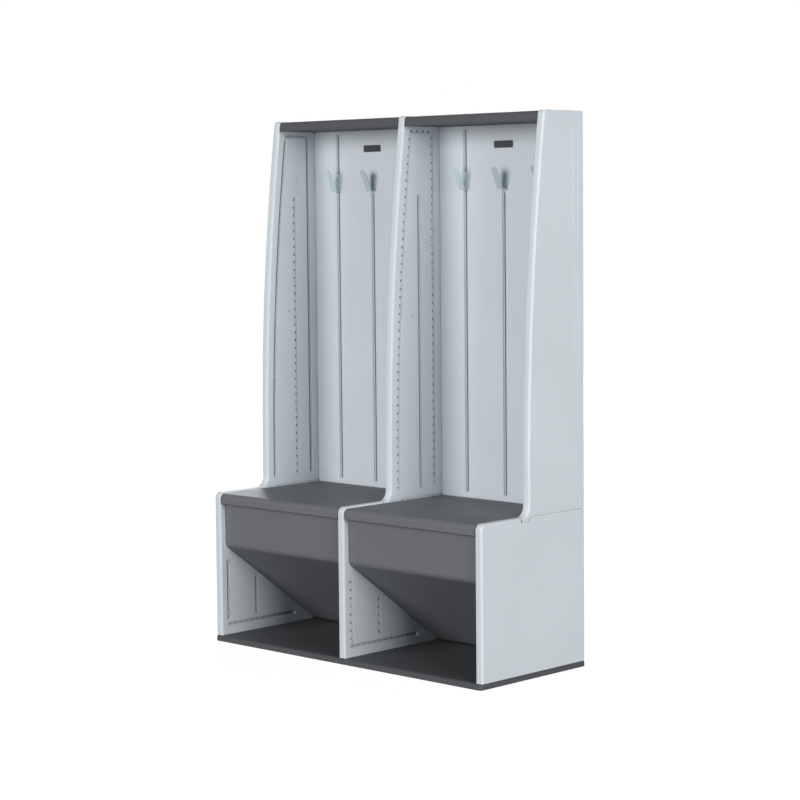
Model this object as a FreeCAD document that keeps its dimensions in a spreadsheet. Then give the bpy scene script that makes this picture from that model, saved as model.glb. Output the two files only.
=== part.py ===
import FreeCAD, Part
import Sketcher

import math
import os

# A two-bay storage locker with open coat bays over hinged bench seats, each seat the lid of
# a hopper-shaped bin, and an open shoe cubby under each bin.
# Frame: +Z up, +X to the right, the open front faces -Y, and the origin lies on the floor
# under the middle of the base. Every length is in millimetres.

DIMENSIONS = {
    # the whole locker
    "overall_width": 1220.0,
    "overall_height": 1765.0,
    "upright_depth": 491.0,
    "upright_thickness": 28.0,
    "seam_height": 510.0,
    # base panel
    "base_thickness": 19.0,
    "base_overhang_front": 6.0,
    "base_overhang_rear": 5.0,
    "base_side_inset": 1.0,
    "base_corner_chamfer": 7.0,
    # rims of the base and the uprights, rounded in two flats
    "rim_on_face": 3.0,
    "rim_on_side": 5.2,
    "rim_softening": 2.4,
    "seat_corner_radius": 20.0,
    "roof_corner_radius": 12.0,
    "rear_top_chamfer": 4.0,
    "seam_chamfer": 6.0,
    "seam_edge_chamfer": 1.8,
    # stepped toe where an upper upright locks into a lower one
    "toe_start": 187.0,
    "toe_length": 32.0,
    "toe_rise_length": 13.0,
    "toe_depth": 14.0,
    "neck_radius": 34.0,
    # leaning front edge of the upper uprights
    "lean_start_rise": 76.0,
    "lean_setback": 79.0,
    # tenons that join the stacked panels
    "tenon_thickness": 12.0,
    "tenon_depth": 30.0,
    "foot_tenon_depth": 10.0,
    "front_tenon_start": 250.0,
    "front_tenon_length": 80.0,
    "rear_tenon_inset": 71.0,
    "rear_tenon_length": 45.0,
    "foot_front_start": 60.0,
    "foot_rear_inset": 151.0,
    "foot_tenon_length": 80.0,
    "fit_clearance": 0.3,
    # small windows over the tenons, where the uprights' locking tabs show
    "window_length": 14.0,
    "window_height": 5.5,
    "window_depth": 3.0,
    "front_window_start": 263.0,
    "rear_window_inset": 86.0,
    # moulded channels on the inner faces of the uprights
    "channel_depth": 5.0,
    "channel_width": 13.0,
    "channel_flank": 25.0,
    "front_channel_setback": 36.0,
    "front_channel_foot": 26.0,
    "front_channel_drop": 62.0,
    "top_channel_drop": 49.0,
    "top_channel_inset": 167.0,
    "rear_channel_inset": 61.0,
    "rear_channel_foot": 30.0,
    "rear_channel_radius": 18.0,
    "middle_channel_inset": 127.0,
    "middle_channel_foot": 26.0,
    "middle_channel_drop": 255.0,
    "pad_recess_inset": 141.0,
    "pad_recess_length": 37.0,
    "pad_recess_gap": 11.0,
    "pad_recess_height": 62.0,
    "pad_recess_depth": 1.5,
    "peg_hole_radius": 2.5,
    "peg_hole_depth": 9.0,
    "peg_hole_inset": 160.0,
    "peg_hole_drop": 652.0,
    "low_channel_setback": 32.0,
    "low_channel_foot": 47.0,
    "low_channel_length": 211.0,
    "low_bottom_rise": 35.0,
    "low_bottom_inset": 151.0,
    "low_short_setback": 161.0,
    "low_short_length": 133.0,
    "well_radius": 8.5,
    "well_depth": 6.5,
    "well_low_rise": 69.0,
    "well_middle_rise": 153.0,
    "well_high_rise": 249.0,
    # faint sunken field on the outer faces of the two side uprights
    "field_front_inset": 155.0,
    "field_rear_inset": 54.0,
    "field_drop": 38.0,
    "field_length": 1027.0,
    "field_depth": 1.6,
    # back panels and the flanges that screw into the uprights from behind
    "back_thickness": 26.0,
    "flange_reach": 10.0,
    "flange_thickness": 8.0,
    "back_channel_width": 16.0,
    "back_channel_depth": 5.0,
    "back_channel_flank": 25.0,
    "back_channel_foot": 17.0,
    "back_channel_drop": 43.0,
    "hook_channel_gap": 6.0,
    # roof panels
    "roof_thickness": 31.5,
    "roof_drop": 2.5,
    "roof_front_advance": 2.0,
    "roof_front_lean": 4.0,
    "roof_front_radius": 10.0,
    "tongue_length": 110.0,
    "tongue_height": 14.0,
    "tongue_reach": 8.0,
    "roof_tongue_inset": 146.0,
    # bench seats
    "seat_drop": 4.0,
    "lid_thickness": 26.0,
    "lid_front_setback": 2.0,
    "lid_side_gap": 1.5,
    "lid_rear_gap": 2.5,
    "apron_height": 33.5,
    "apron_thickness": 18.0,
    "apron_radius": 16.0,
    "hinge_inset": 99.0,
    "ledge_thickness": 27.0,
    "ledge_round": 5.0,
    "rib_channel_length": 300.0,
    "rib_channel_width": 26.0,
    "rib_channel_depth": 8.0,
    "rib_channel_count": 4.0,
    # hinge pins
    "pin_diameter": 8.0,
    "pin_running_clearance": 0.05,
    "pin_in_upright": 11.0,
    "pin_in_lid": 22.0,
    # bins
    "bin_thickness": 18.0,
    "bin_front_setback": 22.0,
    "bin_wall_height": 154.0,
    "bin_foot_inset": 53.0,
    "bin_bend_radius": 24.0,
    "bin_inner_radius": 8.0,
    "bin_side_gap": 0.8,
    "bin_tab_reach": 7.0,
    "bin_tab_thickness": 8.0,
    "bin_tab_height": 22.0,
    "bin_tab_rise": 32.0,
    "bin_tab_pitch": 45.0,
    # coat hooks
    "hook_width": 25.0,
    "hook_gauge": 3.0,
    "hook_drop": 241.0,
    "hook_plate_height": 60.0,
    "hook_reach": 18.0,
    "hook_prong_height": 72.0,
    "hook_prong_lean": 36.0,
    "hook_bend_radius": 2.5,
    "hook_end_bevel": 7.3,
    "hook_pitch": 168.5,
    "hook_screw_low": 18.0,
    "hook_screw_pitch": 22.0,
    # screws
    "screw_shank": 4.0,
    "screw_hole_clearance": 0.2,
    "screw_length": 22.0,
    "screw_head": 8.6,
    "screw_head_height": 2.4,
    "base_screw_head": 9.0,
    "base_screw_head_height": 2.0,
    "base_screw_sink": 4.0,
    "base_screw_length": 34.0,
    "base_screw_front": 200.0,
    "base_screw_rear": 300.0,
    "back_screw_margin": 60.0,
    "upper_screw_rows": 3.0,
    "lower_screw_rows": 2.0,
}

HOOKS_PER_BAY = ("left", "middle", "right")
BAYS = ("left", "right")
HOLE_SIDES = 8
WELL_SIDES = 16
SCREW_SIDES = 6


class Size:
    """A number together with the expression that gives it from the sheet of sizes."""

    def __init__(self, value, text):
        self.value = value
        self.text = text

    def joined(self, sign, other, result):
        return Size(result, "(%s %s %s)" % (self.text, sign, other.text))

    def __add__(self, other):
        other = plain(other)
        return self.joined("+", other, self.value + other.value)

    def __sub__(self, other):
        other = plain(other)
        return self.joined("-", other, self.value - other.value)

    def __mul__(self, other):
        other = plain(other)
        return self.joined("*", other, self.value * other.value)

    def __truediv__(self, other):
        other = plain(other)
        return self.joined("/", other, self.value / other.value)

    def __neg__(self):
        return plain(0.0) - self

    def root(self):
        return Size(math.sqrt(self.value), "sqrt(%s)" % self.text)


def plain(number):
    """A Size as it is, or a bare number as a Size."""
    return number if isinstance(number, Size) else Size(float(number), repr(float(number)))


def make_sheet(document):
    """Writes the driving sizes into a sheet and returns them by name."""
    sheet = document.addObject("Spreadsheet::Sheet", "Sizes")
    sizes = {}
    for row, (alias, value) in enumerate(DIMENSIONS.items(), start=1):
        cell = "B%d" % row
        sheet.set("A%d" % row, alias.replace("_", " "))
        sheet.set(cell, str(value))
        sheet.setAlias(cell, alias)
        sizes[alias] = Size(value, "Sizes.%s" % alias)
    document.recompute()
    return sizes


doc = FreeCAD.newDocument("StorageLocker")
size = make_sheet(doc)
made = []

# places that several pieces share
front = (size["base_overhang_front"] - size["base_overhang_rear"] - size["upright_depth"]) / 2
rear = front + size["upright_depth"]
base_top = size["base_thickness"]
base_front = front - size["base_overhang_front"]
base_depth = size["upright_depth"] + size["base_overhang_front"] + size["base_overhang_rear"]
base_width = size["overall_width"] - size["base_side_inset"] * 2
thick = size["upright_thickness"]
gap = size["fit_clearance"]
seam = size["seam_height"]
bay_width = (size["overall_width"] - thick * 3) / 2
half_width = size["overall_width"] / 2
upright_left = {
    "left": -half_width,
    "middle": -(thick / 2),
    "right": half_width - thick,
}
bay_left = {
    "left": thick - half_width,
    "right": thick / 2,
}
roof_top = size["overall_height"] - size["roof_drop"]
roof_bottom = roof_top - size["roof_thickness"]
seat_top = seam - size["seat_drop"]
hinge_y = rear - size["hinge_inset"]
hinge_z = seat_top - size["lid_thickness"] / 2
nose_radius = size["lid_thickness"] / 2
back_front = rear - size["back_thickness"]
ledge_front = hinge_y + nose_radius + size["lid_rear_gap"]
ledge_bottom = seat_top - size["ledge_thickness"]
lid_bottom = seat_top - size["lid_thickness"]
lid_width = bay_width - size["lid_side_gap"] * 2
pin_hole_radius = size["pin_diameter"] / 2 + size["pin_running_clearance"]
shank_hole = size["screw_shank"] / 2 + size["screw_hole_clearance"] / 2
tenon_side = (thick - size["tenon_thickness"]) / 2
lean_start = seam + size["neck_radius"] + size["lean_start_rise"]
neck_y = front + size["toe_start"] + size["neck_radius"]
roof_front = neck_y + size["lean_setback"] - size["roof_front_advance"]
bin_bend = lid_bottom - size["bin_wall_height"]
hook_bottom = size["overall_height"] - size["hook_drop"]


def origin_plane(body, role):
    """One of the three planes of a body's own origin."""
    return [feature for feature in body.Origin.OriginFeatures if feature.Role == role][0]


def new_sketch(body, name, role, lift):
    """A sketch on an origin plane, lifted along the plane's normal."""
    sketch = body.newObject("Sketcher::SketchObject", name)
    sketch.AttachmentSupport = (origin_plane(body, role), [""])
    sketch.MapMode = "FlatFace"
    if lift is not None:
        sketch.setExpression("AttachmentOffset.Base.z", lift.text)
    return sketch


def bind(sketch, kind, arguments, wanted):
    """Adds one dimension to a sketch and ties it to the sheet."""
    index = sketch.addConstraint(Sketcher.Constraint(kind, *arguments, wanted.value))
    sketch.setExpression("Constraints[%d]" % index, wanted.text)


def arc_between(start, end, radius, turn):
    """A minor arc from start to end; turn is 1 for anticlockwise and -1 for clockwise."""
    chord = end - start
    middle = (start + end) * 0.5
    across = FreeCAD.Vector(-chord.y, chord.x, 0) * (turn / chord.Length)
    rise = math.sqrt(max(radius ** 2 - (chord.Length / 2) ** 2, 0.0))
    centre = middle + across * rise
    first, last = (start, end) if turn > 0 else (end, start)
    angles = [math.atan2(point.y - centre.y, point.x - centre.x) for point in (first, last)]
    circle = Part.Circle(centre, FreeCAD.Vector(0, 0, 1), radius)
    return Part.ArcOfCircle(circle, angles[0], angles[1])


def join_corners(sketch, corners, first=0, arcs=None):
    """Adds a closed outline, whose edges are numbered from first, and ties its corners."""
    arcs = arcs or {}
    points = [FreeCAD.Vector(across.value, up.value, 0) for across, up in corners]
    ends = []
    for number, start in enumerate(points):
        end = points[(number + 1) % len(points)]
        if number in arcs:
            radius, turn = arcs[number]
            sketch.addGeometry(arc_between(start, end, radius.value, turn), False)
            ends.append((1, 2) if turn > 0 else (2, 1))
        else:
            sketch.addGeometry(Part.LineSegment(start, end), False)
            ends.append((1, 2))
    for number in range(len(points)):
        after = (number + 1) % len(points)
        sketch.addConstraint(Sketcher.Constraint(
            "Coincident", first + number, ends[number][1], first + after, ends[after][0]
        ))
    for number, (across, up) in enumerate(corners):
        bind(sketch, "DistanceX", (-1, 1, first + number, ends[number][0]), across)
        bind(sketch, "DistanceY", (-1, 1, first + number, ends[number][0]), up)
    for number, (radius, turn) in arcs.items():
        bind(sketch, "Radius", (first + number,), radius)


def outline(body, name, role, corners, lift=None, arcs=None):
    """A closed outline through corners; arcs maps an edge's number to (radius, turn)."""
    sketch = new_sketch(body, name, role, lift)
    join_corners(sketch, corners, arcs=arcs)
    return sketch


def rectangle(body, name, role, low, high, lift=None):
    """An upright rectangle between two opposite corners."""
    corners = [low, (high[0], low[1]), high, (low[0], high[1])]
    return outline(body, name, role, corners, lift)


def circle(body, name, role, centre, radius, lift=None):
    """A circle about a centre."""
    across, up = centre
    sketch = new_sketch(body, name, role, lift)
    middle = FreeCAD.Vector(across.value, up.value, 0)
    sketch.addGeometry(Part.Circle(middle, FreeCAD.Vector(0, 0, 1), radius.value), False)
    bind(sketch, "DistanceX", (-1, 1, 0, 3), across)
    bind(sketch, "DistanceY", (-1, 1, 0, 3), up)
    bind(sketch, "Radius", (0,), radius)
    return sketch


def pad(body, sketch, length, against=False, middle=False):
    """Adds material along a sketch's normal, or against it, or on both sides of it."""
    feature = body.newObject("PartDesign::Pad", sketch.Name + "Pad")
    feature.Profile = (sketch, [""])
    feature.Reversed = against
    feature.Midplane = middle
    feature.setExpression("Length", length.text)
    doc.recompute()
    return feature


def pocket(body, sketch, depth, along=False, flank=None):
    """Cuts a sketch into the body, with sloped walls if asked, and stops if nothing was cut."""
    before = body.Tip.Shape.Volume
    feature = body.newObject("PartDesign::Pocket", sketch.Name + "Pocket")
    feature.Profile = (sketch, [""])
    feature.Reversed = along
    if flank is not None:
        feature.setExpression("TaperAngle", (-flank).text)
    feature.setExpression("Length", depth.text)
    doc.recompute()
    if not feature.Shape.Volume < before - 1e-3:
        raise RuntimeError("%s of %s cuts nothing" % (feature.Name, body.Label))
    return feature


def drill(body, name, role, centres, radius, depth, lift=None, along=False, sides=HOLE_SIDES):
    """Faceted holes that clear a round of the given radius."""
    sketch = new_sketch(body, name, role, lift)
    across_corners = radius / math.cos(math.pi / sides)
    turns = [2 * math.pi * (corner + 0.5) / sides for corner in range(sides)]
    for number, (across, up) in enumerate(centres):
        corners = [
            (across + across_corners * math.cos(turn), up + across_corners * math.sin(turn))
            for turn in turns
        ]
        join_corners(sketch, corners, number * sides)
    pocket(body, sketch, depth, along)


def dress(body, kind, name, amount, wanted):
    """Rounds or chamfers every edge of the body that the test accepts."""
    base = body.Tip
    chosen = ["Edge%d" % (n + 1) for n, edge in enumerate(base.Shape.Edges) if wanted(edge)]
    if not chosen:
        raise RuntimeError("%s of %s finds no edge" % (name, body.Label))
    feature = body.newObject("PartDesign::%s" % kind, name)
    feature.Base = (base, chosen)
    feature.setExpression("Radius" if kind == "Fillet" else "Size", amount.text)
    doc.recompute()
    return feature


def round_rim(body, name, wanted):
    """Rounds the edges round a face in two flats: a steep bevel, then one on its inner edge."""
    steep = dress(body, "Chamfer", name, size["rim_on_face"], wanted)
    steep.ChamferType = "Two distances"
    steep.setExpression("Size2", size["rim_on_side"].text)
    doc.recompute()
    dress(body, "Chamfer", name + "Soft", size["rim_softening"], wanted)


def near(first, second):
    return abs(first - second) < 1e-4


def along_x_at(*places):
    """Accepts the edges that run along X through one of the given (y, z) places."""

    def accepts(edge):
        box = edge.BoundBox
        if box.YLength > 1e-4 or box.ZLength > 1e-4:
            return False
        return any(near(box.YMin, y.value) and near(box.ZMin, z.value) for y, z in places)

    return accepts


def in_plane(axis, value, extra=None):
    """Accepts the edges that lie in a plane square to an axis, and pass an extra test."""

    def accepts(edge):
        low = getattr(edge.BoundBox, axis + "Min")
        high = getattr(edge.BoundBox, axis + "Max")
        if not (near(low, value.value) and near(high, value.value)):
            return False
        return extra is None or extra(edge)

    return accepts


def new_body(label):
    body = doc.addObject("PartDesign::Body", "".join(word.title() for word in label.split("_")))
    body.Label = label
    made.append(body)
    return body


def place(body, x):
    body.setExpression("Placement.Base.x", x.text)
    doc.recompute()


def channel(body, name, face, low, high, depth, flank=None):
    """A straight channel moulded into one face of an upright."""
    lift = thick if face == "right" else plain(0)
    sketch = rectangle(body, name, "YZ_Plane", low, high, lift)
    pocket(body, sketch, depth, along=(face == "left"), flank=flank)


def sloped_channel(body, name, face, low, high):
    """A channel whose walls slope to a narrow floor."""
    channel(body, name, face, low, high, size["channel_depth"], size["channel_flank"])


def drill_face(body, name, face, centres, radius, depth, sides=HOLE_SIDES):
    """Holes square to one face of an upright."""
    lift = thick if face == "right" else plain(0)
    drill(body, name, "YZ_Plane", centres, radius, depth, lift, face == "left", sides)


# Base panel

def make_base():
    body = new_body("base_panel")
    low = (-(base_width / 2), base_front)
    high = (base_width / 2, base_front + base_depth)
    pad(body, rectangle(body, "BaseOutline", "XY_Plane", low, high), size["base_thickness"])
    dress(body, "Chamfer", "BaseCorners", size["base_corner_chamfer"], lambda edge: edge.BoundBox.ZLength > 1)
    round_rim(body, "TopRim", in_plane("Z", base_top))
    for side, left in upright_left.items():
        for place_name, start in foot_starts.items():
            sketch = rectangle(
                body, "Mortise" + side.title() + place_name, "XY_Plane",
                (left + tenon_side - gap, start - gap),
                (left + thick - tenon_side + gap, start + size["foot_tenon_length"] + gap),
                base_top,
            )
            pocket(body, sketch, size["foot_tenon_depth"] + gap)
    centres = [(left + thick / 2, y) for left in upright_left.values() for y in base_screw_ys]
    drill(body, "ScrewHoles", "XY_Plane", centres, shank_hole, base_top, along=True)
    sink_radius = size["base_screw_head"] / 2 + gap
    drill(body, "ScrewSinks", "XY_Plane", centres, sink_radius, size["base_screw_sink"], along=True)


def flange_screw_places(bottom, top, rows):
    """Heights of the screws along one flange, spread between two margins."""
    count = int(rows.value)
    margin = size["back_screw_margin"]
    if count == 1:
        return [(bottom + top) / 2]
    return [
        bottom + margin + (top - bottom - margin * 2) * (row / (count - 1))
        for row in range(count)
    ]


back_heights = {
    "upper": flange_screw_places(seat_top, roof_bottom, size["upper_screw_rows"]),
    "lower": flange_screw_places(base_top, ledge_bottom, size["lower_screw_rows"]),
    "ledge": flange_screw_places(ledge_bottom, seat_top, plain(1)),
}


flange_screw_inset = (size["flange_reach"] - gap) / 2
foot_starts = {"Front": front + size["foot_front_start"], "Rear": rear - size["foot_rear_inset"]}
base_screw_ys = (front + size["base_screw_front"], front + size["base_screw_rear"])
stack_tenons = {
    "Front": (front + size["front_tenon_start"], size["front_tenon_length"]),
    "Rear": (rear - size["rear_tenon_inset"], size["rear_tenon_length"]),
}
open_faces = {"left": ("right",), "middle": ("left", "right"), "right": ("left",)}
rim_faces = (plain(0), thick)


def rebate(body, face, bottom, top, heights):
    """The step in an upright's rear corner that a back panel's flange is screwed to."""
    step = rear - size["flange_thickness"] - gap
    reach = size["flange_reach"]
    if face == "right":
        low, high, screw_x = thick - reach, thick, thick - flange_screw_inset
    else:
        low, high, screw_x = plain(0), reach, flange_screw_inset
    name = face.title()
    sketch = rectangle(body, "Rebate" + name, "XY_Plane", (low, step), (high, rear), bottom)
    pocket(body, sketch, top - bottom, along=True)
    centres = [(screw_x, z) for z in heights]
    depth = size["screw_length"] - size["flange_thickness"]
    drill(body, "FlangePilots" + name, "XZ_Plane", centres, shank_hole, depth, -step, along=True)


def break_seam(body, toe_front):
    """Bevels the edges where a lower and an upper upright meet behind the toe."""
    lowest = seam - size["toe_depth"]
    rear_end = rear - size["seam_chamfer"]

    def on_seam(edge):
        box = edge.BoundBox
        if box.YMin < toe_front.value - 1e-3 or box.YMax > rear_end.value + 1e-3:
            return False
        return box.ZMin > lowest.value - 1e-3 and box.ZMax < seam.value + 1e-3 and box.YLength > 1e-3

    for number, face in enumerate(rim_faces):
        dress(body, "Chamfer", "SeamEdge%d" % number, size["seam_edge_chamfer"], in_plane("X", face, on_seam))


# Lower uprights

def make_lower_upright(label, side):
    body = new_body(label)
    toe_front = front + size["toe_start"]
    toe_back = toe_front + size["toe_length"]
    corners = [
        (front, base_top),
        (rear, base_top),
        (rear, seam),
        (toe_back + size["toe_rise_length"], seam),
        (toe_back, seam - size["toe_depth"]),
        (toe_front, seam - size["toe_depth"]),
        (toe_front, seam),
        (front, seam),
    ]
    pad(body, outline(body, "Side", "YZ_Plane", corners), thick)
    dress(body, "Fillet", "FrontCorner", size["seat_corner_radius"], along_x_at((front, seam)))
    dress(body, "Chamfer", "RearSeamCorner", size["seam_chamfer"], along_x_at((rear, seam)))

    def on_rim(edge):
        box = edge.BoundBox
        if box.YLength < 1e-3 and box.YMin > (rear - size["rim_on_face"]).value - 1e-3:
            return True
        return box.YMax < toe_front.value + 1e-3 and box.ZMax > base_top.value + 1

    for number, face in enumerate(rim_faces):
        round_rim(body, "Rim%d" % number, in_plane("X", face, on_rim))
    break_seam(body, toe_front)
    for name, start in foot_starts.items():
        foot = rectangle(
            body, "Foot" + name, "XY_Plane",
            (tenon_side, start),
            (thick - tenon_side, start + size["foot_tenon_length"]),
            base_top,
        )
        pad(body, foot, size["foot_tenon_depth"], against=True)
    for name, (start, length) in stack_tenons.items():
        socket = rectangle(
            body, "Socket" + name, "XY_Plane",
            (tenon_side - gap, start - gap),
            (thick - tenon_side + gap, start + length + gap),
            seam,
        )
        pocket(body, socket, size["tenon_depth"] + gap)
    pilot_depth = size["base_screw_length"] - base_top + size["base_screw_sink"]
    pilots = [(thick / 2, y) for y in base_screw_ys]
    drill(body, "FootPilots", "XY_Plane", pilots, shank_hole, pilot_depth, base_top, along=True)
    for face in open_faces[side]:
        finish_lower_face(body, face)
    if side != "middle":
        heights = [base_top + size["well_%s_rise" % word] for word in ("low", "middle", "high")]
        centres = [(front + size["low_channel_setback"], height) for height in heights]
        face = open_faces[side][0]
        drill_face(body, "Wells", face, centres, size["well_radius"], size["well_depth"], WELL_SIDES)
    place(body, upright_left[side])


def finish_lower_face(body, face):
    """Channels, hinge pin socket, bin slots and flange rebate on one inner face."""
    half = size["channel_width"] / 2
    name = face.title()
    upright_y = front + size["low_channel_setback"]
    foot = base_top + size["low_channel_foot"]
    sloped_channel(
        body, "FrontChannel" + name, face,
        (upright_y - half, foot), (upright_y + half, foot + size["low_channel_length"]),
    )
    bottom_z = base_top + size["low_bottom_rise"]
    sloped_channel(
        body, "BottomChannel" + name, face,
        (upright_y - half, bottom_z - half), (rear - size["low_bottom_inset"], bottom_z + half),
    )
    short_y = front + size["low_short_setback"]
    short_z = foot + half
    sloped_channel(
        body, "ShortChannel" + name, face,
        (short_y - half, short_z), (short_y + half, short_z + size["low_short_length"]),
    )
    for window, start in window_starts.items():
        channel(
            body, window + "Window" + name, face,
            (start, seam - size["window_height"]), (start + size["window_length"], seam),
            size["window_depth"],
        )
    pin_socket = size["pin_in_upright"] + gap
    drill_face(body, "PinSocket" + name, face, [(hinge_y, hinge_z)], pin_hole_radius, pin_socket)
    for number in range(2):
        low = bin_bend + size["bin_tab_rise"] + size["bin_tab_pitch"] * number
        channel(
            body, "BinSlot%s%d" % (name, number), face,
            (bin_tab_front - gap, low - gap),
            (bin_tab_front + size["bin_tab_thickness"] + gap, low + size["bin_tab_height"] + gap),
            size["bin_tab_reach"] + gap,
        )
    rebate(body, face, base_top, seam, back_heights["lower"] + back_heights["ledge"])


bin_tab_front = front + size["bin_front_setback"] + (size["bin_thickness"] - size["bin_tab_thickness"]) / 2


window_starts = {
    "Front": front + size["front_window_start"],
    "Rear": rear - size["rear_window_inset"],
}


# Upper uprights

def lean_radius(offset):
    """Radius of the leaning front edge, or of a line set back from it by offset."""
    rise = size["overall_height"] - lean_start
    setback = size["lean_setback"]
    return (setback * setback + rise * rise) / (setback * 2) - offset


def lean_y(offset, height):
    """Where the leaning edge, set back by offset, stands at a height."""
    radius = lean_radius(offset)
    above = height - lean_start
    centre = neck_y + lean_radius(plain(0))
    return centre - (radius * radius - above * above).root()


def make_upper_upright(label, side):
    body = new_body(label)
    toe_front = front + size["toe_start"]
    toe_back = toe_front + size["toe_length"]
    top = size["overall_height"]
    crown = neck_y + size["lean_setback"]
    corners = [
        (toe_front, seam - size["toe_depth"]),
        (toe_back, seam - size["toe_depth"]),
        (toe_back + size["toe_rise_length"], seam),
        (rear, seam),
        (rear, top),
        (crown, top),
        (neck_y, lean_start),
        (neck_y, seam + size["neck_radius"]),
        (toe_front, seam),
    ]
    arcs = {5: (lean_radius(plain(0)), 1), 7: (size["neck_radius"], -1)}
    pad(body, outline(body, "Side", "YZ_Plane", corners, arcs=arcs), thick)
    dress(body, "Fillet", "CrownCorner", size["roof_corner_radius"], along_x_at((crown, top)))
    dress(body, "Chamfer", "RearTopCorner", size["rear_top_chamfer"], along_x_at((rear, top)))
    dress(body, "Chamfer", "RearSeamCorner", size["seam_chamfer"], along_x_at((rear, seam)))

    def on_rim(edge):
        box = edge.BoundBox
        return box.ZMax > seam.value + size["seam_chamfer"].value + 1e-3

    for number, face in enumerate(rim_faces):
        round_rim(body, "Rim%d" % number, in_plane("X", face, on_rim))
    break_seam(body, toe_front)
    for name, (start, length) in stack_tenons.items():
        tenon = rectangle(
            body, "Tenon" + name, "XY_Plane",
            (tenon_side, start), (thick - tenon_side, start + length), seam,
        )
        pad(body, tenon, size["tenon_depth"], against=True)
    for face in open_faces[side]:
        finish_upper_face(body, face)
    if side != "middle":
        face = open_faces[side][0]
        sink_outer_field(body, face)
        pad_front = rear - size["pad_recess_inset"]
        pad_bottom = top - size["middle_channel_drop"] + size["pad_recess_gap"]
        channel(
            body, "PadRecess", face, (pad_front, pad_bottom),
            (pad_front + size["pad_recess_length"], pad_bottom + size["pad_recess_height"]),
            size["pad_recess_depth"],
        )
    place(body, upright_left[side])


def finish_upper_face(body, face):
    """Channels, peg hole, roof slot and flange rebate on one inner face."""
    half = size["channel_width"] / 2
    name = face.title()
    lift = thick if face == "right" else plain(0)
    top = size["overall_height"]
    into = face == "left"
    near_offset = size["front_channel_setback"] - half
    far_offset = size["front_channel_setback"] + half
    low = seam + size["front_channel_foot"]
    high = top - size["front_channel_drop"]
    corners = [
        (neck_y + far_offset, low),
        (neck_y + far_offset, lean_start),
        (lean_y(far_offset, high), high),
        (lean_y(near_offset, high), high),
        (neck_y + near_offset, lean_start),
        (neck_y + near_offset, low),
    ]
    arcs = {1: (lean_radius(far_offset), -1), 3: (lean_radius(near_offset), 1)}
    front_channel = outline(body, "FrontChannel" + name, "YZ_Plane", corners, lift, arcs)
    pocket(body, front_channel, size["channel_depth"], along=into, flank=size["channel_flank"])

    rear_y = rear - size["rear_channel_inset"]
    rear_low = seam + size["rear_channel_foot"]
    top_z = top - size["top_channel_drop"]
    top_start = rear - size["top_channel_inset"]
    outer = size["rear_channel_radius"]
    inner = outer - size["channel_width"]
    corners = [
        (top_start, top_z - half),
        (rear_y + half - outer, top_z - half),
        (rear_y - half, top_z + half - outer),
        (rear_y - half, rear_low),
        (rear_y + half, rear_low),
        (rear_y + half, top_z + half - outer),
        (rear_y + half - outer, top_z + half),
        (top_start, top_z + half),
    ]
    arcs = {1: (inner, -1), 5: (outer, 1)}
    rear_channel = outline(body, "RearChannel" + name, "YZ_Plane", corners, lift, arcs)
    pocket(body, rear_channel, size["channel_depth"], along=into, flank=size["channel_flank"])

    middle_y = rear - size["middle_channel_inset"]
    sloped_channel(
        body, "MiddleChannel" + name, face,
        (middle_y - half, seam + size["middle_channel_foot"]),
        (middle_y + half, top - size["middle_channel_drop"]),
    )
    peg_hole = (rear - size["peg_hole_inset"], top - size["peg_hole_drop"])
    drill_face(body, "PegHole" + name, face, [peg_hole], size["peg_hole_radius"], size["peg_hole_depth"])
    tongue_start = rear - size["roof_tongue_inset"]
    channel(
        body, "RoofSlot" + name, face,
        (tongue_start - gap, roof_tongue_bottom - gap),
        (tongue_start + size["tongue_length"] + gap, roof_tongue_bottom + size["tongue_height"] + gap),
        size["tongue_reach"] + gap,
    )
    rebate(body, face, seam, roof_bottom, back_heights["upper"])


roof_tongue_bottom = roof_bottom + (size["roof_thickness"] - size["tongue_height"]) / 2


def sink_outer_field(body, inner_face):
    """A field on the outer face that sinks gently towards its top rear corner."""
    run = size["field_front_inset"] - size["field_rear_inset"]
    rise = size["field_length"]
    outward = 1 if inner_face == "left" else -1
    lean = FreeCAD.Vector(
        1.0,
        outward * size["field_depth"].value / run.value,
        outward * size["field_depth"].value / rise.value,
    )
    corner = FreeCAD.Vector(
        0, (rear - size["field_rear_inset"]).value, (size["overall_height"] - size["field_drop"]).value,
    )
    depth = size["field_depth"]
    lift = thick - depth if outward > 0 else depth
    sketch = new_sketch(body, "OuterField", "YZ_Plane", None)
    turn = FreeCAD.Rotation(FreeCAD.Vector(0, 0, 1), FreeCAD.Vector(lean.y, lean.z, lean.x))
    offset = FreeCAD.Vector(corner.y, corner.z, lift.value)
    sketch.AttachmentOffset = FreeCAD.Placement(offset, turn)
    points = [(0.0, 0.0), (-run.value, 0.0), (0.0, -rise.value)]
    for number, start in enumerate(points):
        end = points[(number + 1) % 3]
        sketch.addGeometry(
            Part.LineSegment(FreeCAD.Vector(*start, 0), FreeCAD.Vector(*end, 0)), False
        )
    for number in range(3):
        sketch.addConstraint(Sketcher.Constraint("Coincident", number, 2, (number + 1) % 3, 1))
    bind(sketch, "DistanceX", (-1, 1, 0, 1), plain(0))
    bind(sketch, "DistanceY", (-1, 1, 0, 1), plain(0))
    bind(sketch, "DistanceX", (-1, 1, 1, 1), -run)
    bind(sketch, "DistanceY", (-1, 1, 1, 1), plain(0))
    bind(sketch, "DistanceX", (-1, 1, 2, 1), plain(0))
    bind(sketch, "DistanceY", (-1, 1, 2, 1), -rise)
    pocket(body, sketch, depth * 2, along=(outward > 0))


# Back panels

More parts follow.
